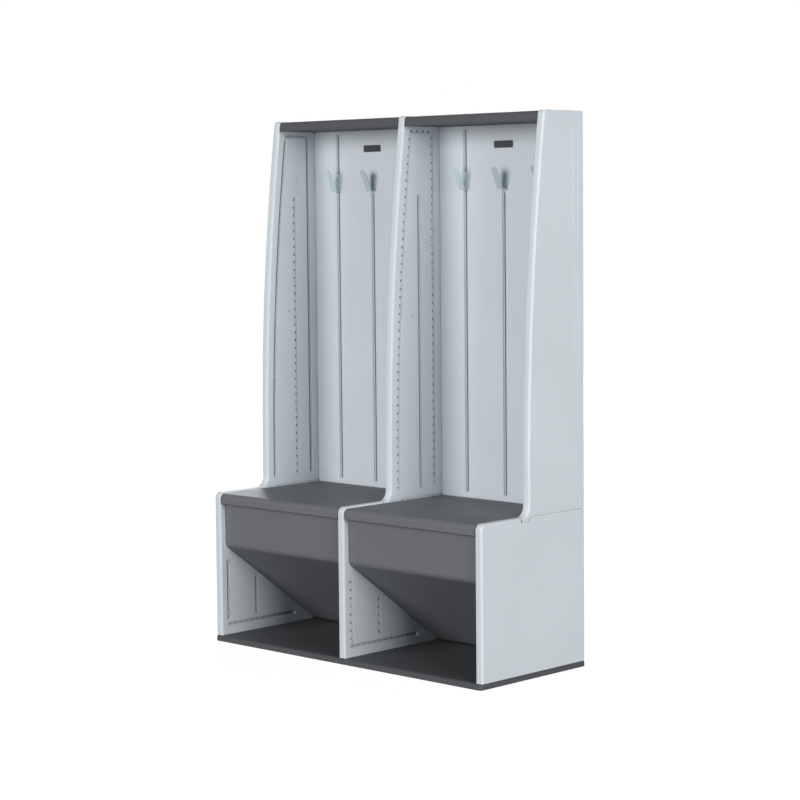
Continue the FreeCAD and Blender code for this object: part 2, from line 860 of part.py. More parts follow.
def flanged_plan(body, name, front_y, bottom):
    """The plan of a panel whose two rear flanges reach into the uprights' rebates."""
    reach = size["flange_reach"] - gap
    step = rear - size["flange_thickness"]
    corners = [
        (gap, front_y),
        (bay_width - gap, front_y),
        (bay_width - gap, step),
        (bay_width + reach, step),
        (bay_width + reach, rear),
        (-reach, rear),
        (-reach, step),
        (gap, step),
    ]
    return outline(body, name, "XY_Plane", corners, bottom)


def flange_screw_xs():
    return [-flange_screw_inset, bay_width + flange_screw_inset]


def drill_flanges(body, heights):
    centres = [(x, z) for x in flange_screw_xs() for z in heights]
    depth = size["flange_thickness"] + gap
    drill(body, "FlangeHoles", "XZ_Plane", centres, shank_hole, depth, -rear, along=True)


def hook_xs():
    middle = bay_width / 2
    return [middle - size["hook_pitch"], middle, middle + size["hook_pitch"]]


def hook_screw_heights():
    first = hook_bottom + size["hook_screw_low"]
    return [first, first + size["hook_screw_pitch"]]


def make_upper_back(label, bay):
    body = new_body(label)
    plan = flanged_plan(body, "Plan", back_front, seat_top)
    pad(body, plan, roof_bottom - seat_top)
    half = size["back_channel_width"] / 2
    long_top = size["overall_height"] - size["back_channel_drop"]
    tops = [long_top, hook_bottom - size["hook_channel_gap"], long_top]
    for number, (x, top) in enumerate(zip(hook_xs(), tops)):
        groove = rectangle(
            body, "Groove%d" % number, "XZ_Plane",
            (x - half, seat_top + size["back_channel_foot"]), (x + half, top), -back_front,
        )
        pocket(body, groove, size["back_channel_depth"], flank=size["back_channel_flank"])
    centres = [(x, z) for x in hook_xs() for z in hook_screw_heights()]
    depth = size["screw_length"] - size["hook_gauge"] + gap
    drill(body, "HookPilots", "XZ_Plane", centres, shank_hole, depth, -back_front)
    drill_flanges(body, back_heights["upper"])
    place(body, bay_left[bay])


def make_lower_back(label, bay):
    body = new_body(label)
    plan = flanged_plan(body, "Plan", back_front, base_top)
    pad(body, plan, ledge_bottom - base_top)
    drill_flanges(body, back_heights["lower"])
    place(body, bay_left[bay])


# Seat ledges behind the lids

def make_seat_ledge(label, bay):
    body = new_body(label)
    plan = flanged_plan(body, "Plan", ledge_front, ledge_bottom)
    pad(body, plan, size["ledge_thickness"])
    dress(
        body, "Fillet", "LedgeNose", size["ledge_round"],
        along_x_at((ledge_front, seat_top), (ledge_front, ledge_bottom)),
    )
    drill_flanges(body, back_heights["ledge"])
    place(body, bay_left[bay])


# Seat lids, each hinged on two pins

def make_seat_lid(label, bay):
    body = new_body(label)
    lid_front = front + size["lid_front_setback"]
    apron_bottom = seat_top - size["apron_height"]
    apron_back = lid_front + size["apron_thickness"]
    corners = [
        (lid_front, seat_top),
        (lid_front, apron_bottom),
        (apron_back, apron_bottom),
        (apron_back, lid_bottom),
        (hinge_y, lid_bottom),
        (hinge_y + nose_radius, hinge_z),
        (hinge_y, seat_top),
    ]
    arcs = {4: (nose_radius, 1), 5: (nose_radius, 1)}
    pad(body, outline(body, "LidSide", "YZ_Plane", corners, arcs=arcs), lid_width)
    dress(body, "Fillet", "SeatEdge", size["apron_radius"], along_x_at((lid_front, seat_top)))
    for name, lift, along in (("Left", plain(0), True), ("Right", lid_width, False)):
        bore = circle(body, "PinBore" + name, "YZ_Plane", (hinge_y, hinge_z), pin_hole_radius, lift)
        pocket(body, bore, size["pin_in_lid"] + gap, along=along)
    count = int(size["rib_channel_count"].value)
    for number in range(count):
        x = lid_width * ((number + 0.5) / count)
        y = (apron_back + hinge_y) / 2
        half_length = size["rib_channel_length"] / 2
        half_channel = size["rib_channel_width"] / 2
        groove = rectangle(
            body, "UndersideGroove%d" % number, "XY_Plane",
            (x - half_channel, y - half_length), (x + half_channel, y + half_length), lid_bottom,
        )
        pocket(body, groove, size["rib_channel_depth"], along=True)
    place(body, bay_left[bay] + size["lid_side_gap"])


# Bins: a front wall that bends back into a sloping floor

def make_bin(label, bay):
    body = new_body(label)
    wall = front + size["bin_front_setback"]
    foot = rear - size["bin_foot_inset"]
    bend = bin_bend
    rim = lid_bottom - gap
    thickness = size["bin_thickness"]
    limit = back_front - gap
    slope = (bend - base_top) / (foot - wall)
    rise = thickness * (slope * slope + 1).root()
    corners = [
        (wall, rim),
        (wall, bend),
        (foot, base_top),
        (limit, base_top),
        (limit, bend - slope * (limit - wall) + rise),
        (wall + thickness, bend - slope * thickness + rise),
        (wall + thickness, rim),
    ]
    side_gap = size["bin_side_gap"]
    bin_width = bay_width - side_gap * 2
    pad(body, outline(body, "BinSide", "YZ_Plane", corners), bin_width)
    dress(body, "Fillet", "OuterBend", size["bin_bend_radius"], along_x_at(corners[1]))
    dress(body, "Fillet", "InnerBend", size["bin_inner_radius"], along_x_at(corners[5]))
    reach = size["bin_tab_reach"] + side_gap
    for number in range(2):
        low = bin_bend + size["bin_tab_rise"] + size["bin_tab_pitch"] * number
        for name, lift, against in (("Left", plain(0), True), ("Right", bin_width, False)):
            tab = rectangle(
                body, "Tab%s%d" % (name, number), "YZ_Plane",
                (bin_tab_front, low),
                (bin_tab_front + size["bin_tab_thickness"], low + size["bin_tab_height"]), lift,
            )
            pad(body, tab, reach, against=against)
    place(body, bay_left[bay] + side_gap)


# Roof panels

def make_roof(label, bay):
    body = new_body(label)
    corners = [
        (roof_front, roof_bottom),
        (rear, roof_bottom),
        (rear, roof_top),
        (roof_front + size["roof_front_lean"], roof_top),
    ]
    roof_width = bay_width - gap * 2
    pad(body, outline(body, "RoofSide", "YZ_Plane", corners), roof_width)
    dress(body, "Fillet", "Fascia", size["roof_front_radius"], along_x_at(corners[3]))
    start = rear - size["roof_tongue_inset"]
    for name, lift, against in (("Left", plain(0), True), ("Right", roof_width, False)):
        tongue = rectangle(
            body, "Tongue" + name, "YZ_Plane",
            (start, roof_tongue_bottom),
            (start + size["tongue_length"], roof_tongue_bottom + size["tongue_height"]), lift,
        )
        pad(body, tongue, size["tongue_reach"] + gap, against=against)
    place(body, bay_left[bay] + gap)


# Coat hooks, each a bent steel strap

def make_hook(label, bay, x):
    body = new_body(label)
    gauge = size["hook_gauge"]
    wall = back_front
    bottom = hook_bottom
    shelf = wall - size["hook_reach"]
    lean = size["hook_prong_lean"]
    height = size["hook_prong_height"]
    length = (lean * lean + height * height).root()
    across = gauge * height / length
    drop = gauge * lean / length
    step = gauge * (length - lean) / height
    corners = [
        (wall, bottom),
        (wall, bottom + size["hook_plate_height"]),
        (wall - gauge, bottom + size["hook_plate_height"]),
        (wall - gauge, bottom + gauge),
        (shelf + step, bottom + gauge),
        (shelf - lean + across, bottom + height + drop),
        (shelf - lean, bottom + height),
        (shelf, bottom),
    ]
    pad(body, outline(body, "Strap", "YZ_Plane", corners), size["hook_width"], middle=True)
    outer_bend = size["hook_bend_radius"] + gauge
    dress(body, "Fillet", "OuterBends", outer_bend, along_x_at(corners[0], corners[7]))
    dress(
        body, "Fillet", "InnerBends", size["hook_bend_radius"], along_x_at(corners[3], corners[4])
    )

    def at_end_corner(edge):
        box = edge.BoundBox
        if box.XLength > 1e-4 or box.YLength < 1e-4:
            return False
        return any(near(box.ZMin, corners[end][1].value) for end in (1, 6))

    dress(body, "Chamfer", "EndCorners", size["hook_end_bevel"], at_end_corner)
    centres = [(plain(0), z) for z in hook_screw_heights()]
    drill(body, "ScrewHoles", "XZ_Plane", centres, shank_hole, gauge, -wall, along=True)
    place(body, bay_left[bay] + x)


# Fasteners

def make_pin(label, x):
    """A plain steel pin half in an upright and half in a lid."""
    pin = doc.addObject("Part::Cylinder", label.title().replace("_", ""))
    pin.Label = label
    length = size["pin_in_upright"] + size["lid_side_gap"] + size["pin_in_lid"]
    pin.setExpression("Radius", (size["pin_diameter"] / 2).text)
    pin.setExpression("Height", length.text)
    pin.Placement = FreeCAD.Placement(
        FreeCAD.Vector(0, 0, 0), FreeCAD.Rotation(FreeCAD.Vector(0, 1, 0), 90)
    )
    pin.setExpression("Placement.Base.x", x.text)
    pin.setExpression("Placement.Base.y", hinge_y.text)
    pin.setExpression("Placement.Base.z", hinge_z.text)
    made.append(pin)


def facet_ring(radius, height):
    """A regular ring of corners round the Z axis."""
    turns = [2 * math.pi * corner / SCREW_SIDES for corner in range(SCREW_SIDES + 1)]
    return Part.makePolygon(
        [FreeCAD.Vector(radius * math.cos(turn), radius * math.sin(turn), height) for turn in turns]
    )


def screw_shape(length_size, head_size, height_size):
    """A pointed self-tapping screw along +Z with its hexagon head's seat at z = 0."""
    shank = size["screw_shank"].value / 2
    length = size[length_size].value
    head = size[head_size].value / 2
    height = size[height_size].value
    tip = Part.Vertex(0, 0, -length)
    stem = Part.makeLoft([tip, facet_ring(shank, shank * 2 - length), facet_ring(shank, 0)], True, True)
    cap = Part.Face(facet_ring(head, 0)).extrude(FreeCAD.Vector(0, 0, height))
    return stem.fuse(cap).removeSplitter()


def make_screws(label, screw, direction, places):
    """A set of identical screws as one piece, each with its head towards direction."""
    turn = FreeCAD.Rotation(FreeCAD.Vector(0, 0, 1), direction)
    copies = []
    for x, y, z in places:
        copy = screw.copy()
        copy.Placement = FreeCAD.Placement(FreeCAD.Vector(x.value, y.value, z.value), turn)
        copies.append(copy)
    group = doc.addObject("Part::Feature", label.title().replace("_", ""))
    group.Label = label
    group.Shape = Part.makeCompound(copies)
    made.append(group)


def make_all_screws():
    pan = screw_shape("screw_length", "screw_head", "screw_head_height")
    hook_face = back_front - size["hook_gauge"]
    hook_places = [
        (bay_left[bay] + x, hook_face, z)
        for bay in BAYS
        for x in hook_xs()
        for z in hook_screw_heights()
    ]
    make_screws("hook_screws", pan, FreeCAD.Vector(0, -1, 0), hook_places)
    for name, heights in back_heights.items():
        places = [
            (bay_left[bay] + x, rear, z)
            for bay in BAYS
            for x in flange_screw_xs()
            for z in heights
        ]
        make_screws("%s_back_screws" % name, pan, FreeCAD.Vector(0, 1, 0), places)
    flat = screw_shape("base_screw_length", "base_screw_head", "base_screw_head_height")
    base_places = [
        (left + thick / 2, y, size["base_screw_sink"])
        for left in upright_left.values()
        for y in base_screw_ys
    ]
    make_screws("base_screws", flat, FreeCAD.Vector(0, 0, -1), base_places)


def check_and_write():
    """Stops on any failed feature, then writes each piece to its own file."""
    doc.recompute()
    for item in doc.Objects:
        if "Invalid" in item.State or "Error" in item.State:
            raise RuntimeError("%s failed: %s" % (item.Name, item.State))
    for piece in made:
        if piece.Shape.isNull() or not piece.Shape.isValid():
            raise RuntimeError("%s has no valid shape" % piece.Label)
    os.makedirs("parts", exist_ok=True)
    for piece in made:
        piece.Shape.exportStep("parts/%s.step" % piece.Label)
        print("%-24s %2d solid(s) %9.0f mm3" % (piece.Label, len(piece.Shape.Solids), piece.Shape.Volume))


make_base()
for side_name, words in (("left", "side_left"), ("middle", "divider"), ("right", "side_right")):
    make_lower_upright("lower_" + words, side_name)
    make_upper_upright("upper_" + words, side_name)
for bay_name in BAYS:
    make_lower_back("lower_back_" + bay_name, bay_name)
    make_upper_back("upper_back_" + bay_name, bay_name)
    make_seat_ledge("seat_ledge_" + bay_name, bay_name)
    make_seat_lid("seat_lid_" + bay_name, bay_name)
    make_bin("bin_panel_" + bay_name, bay_name)
    make_roof("roof_panel_" + bay_name, bay_name)
    for hook_place, hook_x in zip(HOOKS_PER_BAY, hook_xs()):
        make_hook("coat_hook_%s_%s" % (bay_name, hook_place), bay_name, hook_x)
    reach_in = size["pin_in_upright"]
    make_pin("lid_pin_%s_outer" % bay_name, bay_left[bay_name] - reach_in)
    far_end = bay_left[bay_name] + bay_width - size["lid_side_gap"] - size["pin_in_lid"]
    make_pin("lid_pin_%s_inner" % bay_name, far_end)
make_all_screws()
check_and_write()
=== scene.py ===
import math
from functools import partial

import bmesh
import bpy
from bpy.props import FloatProperty, FloatVectorProperty, IntProperty, PointerProperty
from bpy.types import Operator, Panel, PropertyGroup
from mathutils import Matrix, Vector
from mathutils.bvhtree import BVHTree


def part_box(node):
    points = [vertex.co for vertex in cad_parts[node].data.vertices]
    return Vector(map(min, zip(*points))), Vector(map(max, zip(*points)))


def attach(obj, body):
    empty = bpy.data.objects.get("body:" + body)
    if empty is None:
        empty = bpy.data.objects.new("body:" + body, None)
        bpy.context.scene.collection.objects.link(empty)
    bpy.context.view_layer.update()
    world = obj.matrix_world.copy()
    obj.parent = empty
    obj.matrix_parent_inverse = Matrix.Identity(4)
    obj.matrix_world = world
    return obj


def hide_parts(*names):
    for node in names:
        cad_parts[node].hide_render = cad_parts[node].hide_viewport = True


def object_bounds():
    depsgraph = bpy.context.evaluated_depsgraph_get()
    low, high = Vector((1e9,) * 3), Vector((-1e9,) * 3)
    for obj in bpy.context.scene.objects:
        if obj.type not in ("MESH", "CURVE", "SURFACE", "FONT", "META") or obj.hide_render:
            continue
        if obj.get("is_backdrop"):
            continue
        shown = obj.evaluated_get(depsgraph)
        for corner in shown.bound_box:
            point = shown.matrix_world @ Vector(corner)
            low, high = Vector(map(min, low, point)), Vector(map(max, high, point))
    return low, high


bl_info = {
    "name": "Storage Locker Finish",
    "version": (1, 0, 0),
    "blender": (4, 5, 0),
    "location": "3D View > Sidebar > Locker",
    "description": "Dresses a two-bay moulded storage locker in its real surfaces and small parts",
    "category": "Object",
}

# The frame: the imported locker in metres, +Z up, with its open front facing -Y
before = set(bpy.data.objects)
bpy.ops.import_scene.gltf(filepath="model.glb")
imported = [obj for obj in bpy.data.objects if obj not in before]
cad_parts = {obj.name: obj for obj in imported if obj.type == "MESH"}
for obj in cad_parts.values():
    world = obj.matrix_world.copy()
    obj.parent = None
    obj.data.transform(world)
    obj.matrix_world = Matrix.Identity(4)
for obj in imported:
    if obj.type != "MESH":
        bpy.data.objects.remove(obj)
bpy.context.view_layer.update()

CARCASS = "carcass"
BAYS = ("left", "right")
# The moulded faces of an upright, by the sign of the X axis that they look along
UPRIGHT_FACES = {"side_left": (1,), "divider": (-1, 1), "side_right": (-1,)}
# Degrees between two faces above which the edge between them counts as hard: on a panel or
# plate, on a hook's strap and on a screw
HARD_EDGE = 35
STRAP_EDGE = 50
SCREW_EDGE = 40
# How far a cutter starts in front of the face that it cuts, in metres
CUTTER_LEAD = 0.001
# Sides of a round well and of a tack-off
WELL_SIDES = 20
TACK_SIDES = 10
# Metres between two points that follow the leaning edge, and the angle between two points of a
# channel's turn
EDGE_STEP = 0.030
TURN_STEP = math.radians(18)
# The channels that tack-offs or a crease run along
TACKED = {
    "upper_side": ("front", "middle"),
    "upper_divider": ("front", "rear"),
    "lower_side": ("front", "bottom"),
    "lower_divider": ("front", "bottom", "short"),
}
CREASED = {
    "upper_side": ("front", "rear"),
    "upper_divider": ("middle",),
    "lower_side": ("front", "bottom", "short"),
    "lower_divider": ("bottom",),
}
SEAT_PANELS = ("seat_lid_", "seat_ledge_", "bin_panel_")
# A pan head's outline from crown to seat, as parts of its radius and height, then its shank's
# part of the radius, and the depth and the taper of its cross recess
PAN_HEAD = ((0.45, 0.96), (0.80, 0.78), (0.97, 0.45), (1.0, 0.18), (0.98, 0.0))
SHANK = 0.46
RECESS_DEPTH = 0.62
RECESS_TAPER = 0.6
# Degrees that each screw is turned further than the one before it
SCREW_TURN = 37
# Which way each group of screws has its heads, and how high a head stands, in metres
SCREW_GROUPS = {
    "hook_screws": (Vector((0, -1, 0)), 0.0024),
    "upper_back_screws": (Vector((0, 1, 0)), 0.0024),
    "lower_back_screws": (Vector((0, 1, 0)), 0.0024),
    "ledge_back_screws": (Vector((0, 1, 0)), 0.0024),
    "base_screws": (Vector((0, 0, -1)), 0.0020),
}
# A plate's section from the wall to its field, as parts of the rim's width and the thickness
PLATE_SECTION = ((0.0, 0.0), (0.0, 0.8), (0.25, 1.0), (1.0, 1.0), (1.3, 0.7))
# Where each soft box stands: degrees from -Y towards +X, and degrees above the level
SOFT_BOXES = {"front": (-6, 8), "side": (80, 8), "back": (215, 25)}


# Colour and nodes

def linear(hex_colour):
    """Turns an sRGB hex value into the linear colour that a shader takes."""
    parts = [int(hex_colour[at:at + 2], 16) / 255 for at in (0, 2, 4)]
    return tuple(v / 12.92 if v <= 0.04045 else ((v + 0.055) / 1.055) ** 2.4 for v in parts)


def shade(colour, amount):
    """An opaque colour, made lighter or darker by a factor."""
    return tuple(min(part * amount, 1.0) for part in colour) + (1.0,)


def add_node(tree, kind, inputs=None, links=None, **settings):
    """Adds one node with its settings, the values of its sockets and its links."""
    node = tree.nodes.new(kind)
    for key, value in settings.items():
        setattr(node, key, value)
    for key, value in (inputs or {}).items():
        node.inputs[key].default_value = value
    for key, (source, output) in (links or {}).items():
        tree.links.new(source.outputs[output], node.inputs[key])
    return node


def new_tree(owner):
    """The empty node tree of a material or a world."""
    owner.use_nodes = True
    owner.node_tree.nodes.clear()
    return owner.node_tree


def tone_ramp(tree, source, output, colour, spread):
    """A colour that drifts a little lighter and darker as a pattern does."""
    ramp = add_node(tree, "ShaderNodeValToRGB", links={"Fac": (source, output)})
    for element, at, amount in zip(ramp.color_ramp.elements, (0.3, 0.7), (1 - spread, 1 + spread)):
        element.position = at
        element.color = shade(colour, amount)
    return ramp


# Materials

def moulded_polyethylene(name, colour, sheen, moulding):
    """High-density polyethylene, blow-moulded against a pebbled and blasted steel mould."""
    # A waxy satin skin: fine pebbles that break up the sheen seen along a surface, broad soft
    # highlights, the slow ripples of a hollow wall, and painted shade in pits, creases and narrow
    # gaps.
    # The pebbles are drawn a little coarser than life, so that they show.
    material = bpy.data.materials.new(name)
    tree = new_tree(material)
    place = add_node(tree, "ShaderNodeTexCoord")
    cloud = add_node(
        tree, "ShaderNodeTexNoise", {"Scale": 1 / moulding.cloud, "Detail": 3.0},
        {"Vector": (place, "Object")},
    )
    tone = tone_ramp(tree, cloud, "Fac", colour, 0.02)
    # Painted shade, not dust: ambient occlusion darkens the colour in pits, creases and narrow
    # gaps.
    shelter = add_node(
        tree, "ShaderNodeAmbientOcclusion", {"Distance": moulding.painted_shade_reach}, samples=8,
    )
    painted_shade = add_node(
        tree, "ShaderNodeMapRange",
        {"From Min": 0.1, "From Max": 0.5, "To Min": moulding.painted_shade_tone, "To Max": 1.0},
        {"Value": (shelter, "AO")},
    )
    tone_with_painted_shade = add_node(
        tree, "ShaderNodeVectorMath", {}, {0: (tone, "Color"), "Scale": (painted_shade, "Result")},
        operation="SCALE",
    )
    pebbles = add_node(
        tree, "ShaderNodeTexVoronoi", {"Scale": 1 / moulding.pebble, "Smoothness": 0.6},
        {"Vector": (place, "Object")}, feature="SMOOTH_F1",
    )
    ripple = add_node(
        tree, "ShaderNodeTexNoise", {"Scale": 1 / moulding.ripple, "Detail": 1.0},
        {"Vector": (place, "Object")},
    )
    grain = add_node(
        tree, "ShaderNodeBump", {"Strength": 0.5, "Distance": moulding.pebble_depth},
        {"Height": (pebbles, "Distance")},
    )
    wall = add_node(
        tree, "ShaderNodeBump", {"Strength": 1.0, "Distance": moulding.ripple_depth},
        {"Height": (ripple, "Fac"), "Normal": (grain, "Normal")},
    )
    polish = add_node(
        tree, "ShaderNodeMapRange",
        {"From Min": 0.3, "From Max": 0.7, "To Min": 0.46, "To Max": 0.56},
        {"Value": (cloud, "Fac")},
    )
    skin = add_node(
        tree, "ShaderNodeBsdfPrincipled", {"IOR": 1.54, "Specular IOR Level": sheen},
        {
            "Base Color": (tone_with_painted_shade, "Vector"), "Roughness": (polish, "Result"),
            "Normal": (wall, "Normal"),
        },
    )
    add_node(tree, "ShaderNodeOutputMaterial", links={"Surface": (skin, "BSDF")})
    return material


def zinc_plate(name, colour, metal, roughness, grain_width):
    """Steel, pressed or headed, then zinc-plated and passivated to a clear blue."""
    # A bright cool metal: the clear film over the zinc scatters a part of the light, and the
    # faint mottle of the crystals hides the marks of the press.
    material = bpy.data.materials.new(name)
    tree = new_tree(material)
    place = add_node(tree, "ShaderNodeTexCoord")
    crystals = add_node(
        tree, "ShaderNodeTexNoise", {"Scale": 1 / grain_width, "Detail": 4.0},
        {"Vector": (place, "Object")},
    )
    tone = tone_ramp(tree, crystals, "Fac", colour, 0.03)
    sheen = add_node(
        tree, "ShaderNodeMapRange",
        {"From Min": 0.3, "From Max": 0.7, "To Min": roughness * 0.94, "To Max": roughness * 1.06},
        {"Value": (crystals, "Fac")},
    )
    skin = add_node(
        tree, "ShaderNodeBsdfPrincipled", {"Metallic": metal},
        {"Base Color": (tone, "Color"), "Roughness": (sheen, "Result")},
    )
    add_node(tree, "ShaderNodeOutputMaterial", links={"Surface": (skin, "BSDF")})
    return material


def studio_paper(stage):
    """Matt background paper, rolled smooth and lit from behind away from the locker."""
    # It reads as pure white to the eye from 3 m outwards, keeps the soft shadow close round the
    # locker, and throws little light up under it.
    material = bpy.data.materials.new("white_background_paper")
    tree = new_tree(material)
    rays = add_node(tree, "ShaderNodeLightPath")
    place = add_node(tree, "ShaderNodeTexCoord")
    away = add_node(tree, "ShaderNodeVectorMath", {}, {0: (place, "Object")}, operation="LENGTH")
    glow = add_node(
        tree, "ShaderNodeMapRange",
        {"From Min": 1.0, "From Max": 3.0, "To Min": stage.paper_glow, "To Max": 1.0},
        {"Value": (away, "Value")},
    )
    seen = add_node(
        tree, "ShaderNodeMath",
        links={0: (rays, "Is Camera Ray"), 1: (glow, "Result")}, operation="MULTIPLY",
    )
    tone = add_node(
        tree, "ShaderNodeMapRange", {"To Min": stage.paper_bounce, "To Max": stage.paper_tone},
        {"Value": (rays, "Is Camera Ray")},
    )
    paper = add_node(tree, "ShaderNodeBsdfDiffuse", links={"Color": (tone, "Result")})
    light = add_node(tree, "ShaderNodeEmission", links={"Strength": (seen, "Value")})
    lit = add_node(tree, "ShaderNodeAddShader", {}, {0: (paper, "BSDF"), 1: (light, "Emission")})
    add_node(tree, "ShaderNodeOutputMaterial", links={"Surface": (lit, "Shader")})
    return material


# Mesh work

def new_piece(name, mesh):
    """A new object in the scene with a mesh of its own."""
    piece = bpy.data.objects.new(name, mesh)
    bpy.context.scene.collection.objects.link(piece)
    return piece


def from_bmesh(name, shape):
    """Writes a bmesh out as a new object."""
    mesh = bpy.data.meshes.new(name)
    shape.to_mesh(mesh)
    shape.free()
    return new_piece(name, mesh)


def settle(piece):
    """Gives an object the mesh that its modifiers make, and drops them."""
    graph = bpy.context.evaluated_depsgraph_get()
    mesh = bpy.data.meshes.new_from_object(piece.evaluated_get(graph))
    piece.modifiers.clear()
    piece.data = mesh


def dress(piece, *materials):
    """Puts materials into an object's slots."""
    piece.data.materials.clear()
    for material in materials:
        piece.data.materials.append(material)


def join_flats(piece):
    """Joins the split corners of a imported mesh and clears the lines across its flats."""
    weld = piece.modifiers.new("JoinCorners", "WELD")
    weld.merge_threshold = 1e-5
    flats = piece.modifiers.new("ClearFlats", "DECIMATE")
    flats.decimate_type = "DISSOLVE"
    flats.angle_limit = math.radians(0.4)


def soften(piece, width, limit=HARD_EDGE, method="ANGLE"):
    """Rounds the edges that are sharper than a limit, or that carry a weight."""
    bevel = piece.modifiers.new("SoftenEdges", "BEVEL")
    bevel.width = width
    bevel.segments = 2
    bevel.limit_method = method
    bevel.angle_limit = math.radians(limit)
    bevel.use_clamp_overlap = False


def soften_long(piece, width, shortest):
    """Rounds the long hard edges of a settled object, and leaves the short ones crisp."""
    shape = bmesh.new()
    shape.from_mesh(piece.data)
    weight = shape.edges.layers.float.new("bevel_weight_edge")
    for edge in shape.edges:
        hard = edge.calc_face_angle(0.0) > math.radians(HARD_EDGE)
        edge[weight] = 1.0 if hard and edge.calc_length() > shortest else 0.0
    shape.to_mesh(piece.data)
    shape.free()
    soften(piece, width, method="WEIGHT")
    settle(piece)


def even_shading(piece):
    """Shades an object so that its flats look flat and its rounded edges round."""
    piece.modifiers.new("ShadeFlats", "WEIGHTED_NORMAL").keep_sharp = True


def loose_boxes(node):
    """The corners of the box round each separate solid of a node, in order of their place."""
    shape = bmesh.new()
    shape.from_mesh(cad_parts[node].data)
    bmesh.ops.remove_doubles(shape, verts=shape.verts, dist=1e-6)
    unseen = set(shape.verts)
    boxes = []
    while unseen:
        reached = [unseen.pop()]
        for vert in reached:
            for edge in vert.link_edges:
                other = edge.other_vert(vert)
                if other in unseen:
                    unseen.discard(other)
                    reached.append(other)
        places = [vert.co for vert in reached]
        low = Vector([min(place[axis] for place in places) for axis in range(3)])
        high = Vector([max(place[axis] for place in places) for axis in range(3)])
        boxes.append((low, high))
    shape.free()
    return sorted(boxes, key=lambda box: [round(part, 4) for part in box[0]])


# Moulded panels

class LOCKER_PG_moulding(PropertyGroup):
    light_colour: FloatVectorProperty(
        name="Light panels", description="Colour of the uprights and back panels",
        subtype="COLOR", size=3, min=0, max=1, default=linear("CCD4D9"),
    )
    slate_colour: FloatVectorProperty(
        name="Seats and bins", description="Colour of the seats and bins",
        subtype="COLOR", size=3, min=0, max=1, default=linear("6C6E72"),
    )
    # Painted shade: a darker copy of the seats' and bins' slate plastic, for the roofs and base,
    # which take less light.
    slate_painted_shade_colour: FloatVectorProperty(
        name="Roofs and base", description="Colour of the roofs and the base",
        subtype="COLOR", size=3, min=0, max=1, default=linear("55575A"),
    )
    light_sheen: FloatProperty(
        name="Light sheen", description="Strength of the light panels' sheen",
        default=0.25, min=0.0, max=1.0,
    )
    dark_sheen: FloatProperty(
        name="Dark sheen", description="Strength of the coarser dark panels' sheen",
        default=0.12, min=0.0, max=1.0,
    )
    edge: FloatProperty(
        name="Edge", description="Width of the softened edges that a blow mould leaves",
        default=0.0009, min=0.0001, unit="LENGTH",
    )
    long_edge: FloatProperty(
        name="Long edge", description="Length above which an edge with cuts near it is softened",
        default=0.012, min=0.001, unit="LENGTH",
    )
    pebble: FloatProperty(
        name="Pebble", description="Width of one pebble of the moulded finish",
        default=0.0016, min=0.0005, unit="LENGTH",
    )
    pebble_depth: FloatProperty(
        name="Pebble depth", description="Height of one pebble",
        default=0.00012, min=0.0, unit="LENGTH",
    )
    ripple: FloatProperty(
        name="Ripple", description="Length of the slow waves in a hollow wall",
        default=0.16, min=0.01, unit="LENGTH",
    )
    ripple_depth: FloatProperty(
        name="Ripple depth", description="Height of the slow waves in a hollow wall",
        default=0.0008, min=0.0, unit="LENGTH",
    )
    cloud: FloatProperty(
        name="Cloud", description="Width of the faint clouds of colour in the plastic",
        default=0.3, min=0.01, unit="LENGTH",
    )
    # Painted shade, not dust: how wide a pit or gap is darkened, and how much of the colour is left
    # in its deepest part.
    painted_shade_reach: FloatProperty(
        name="Dust reach", description="Width of the widest gap or pit that dust settles in",
        default=0.014, min=0.001, unit="LENGTH",
    )
    painted_shade_tone: FloatProperty(
        name="Dust tone", description="Part of the colour that is left deep in a pit or gap",
        default=0.3, min=0.0, max=1.0,
    )


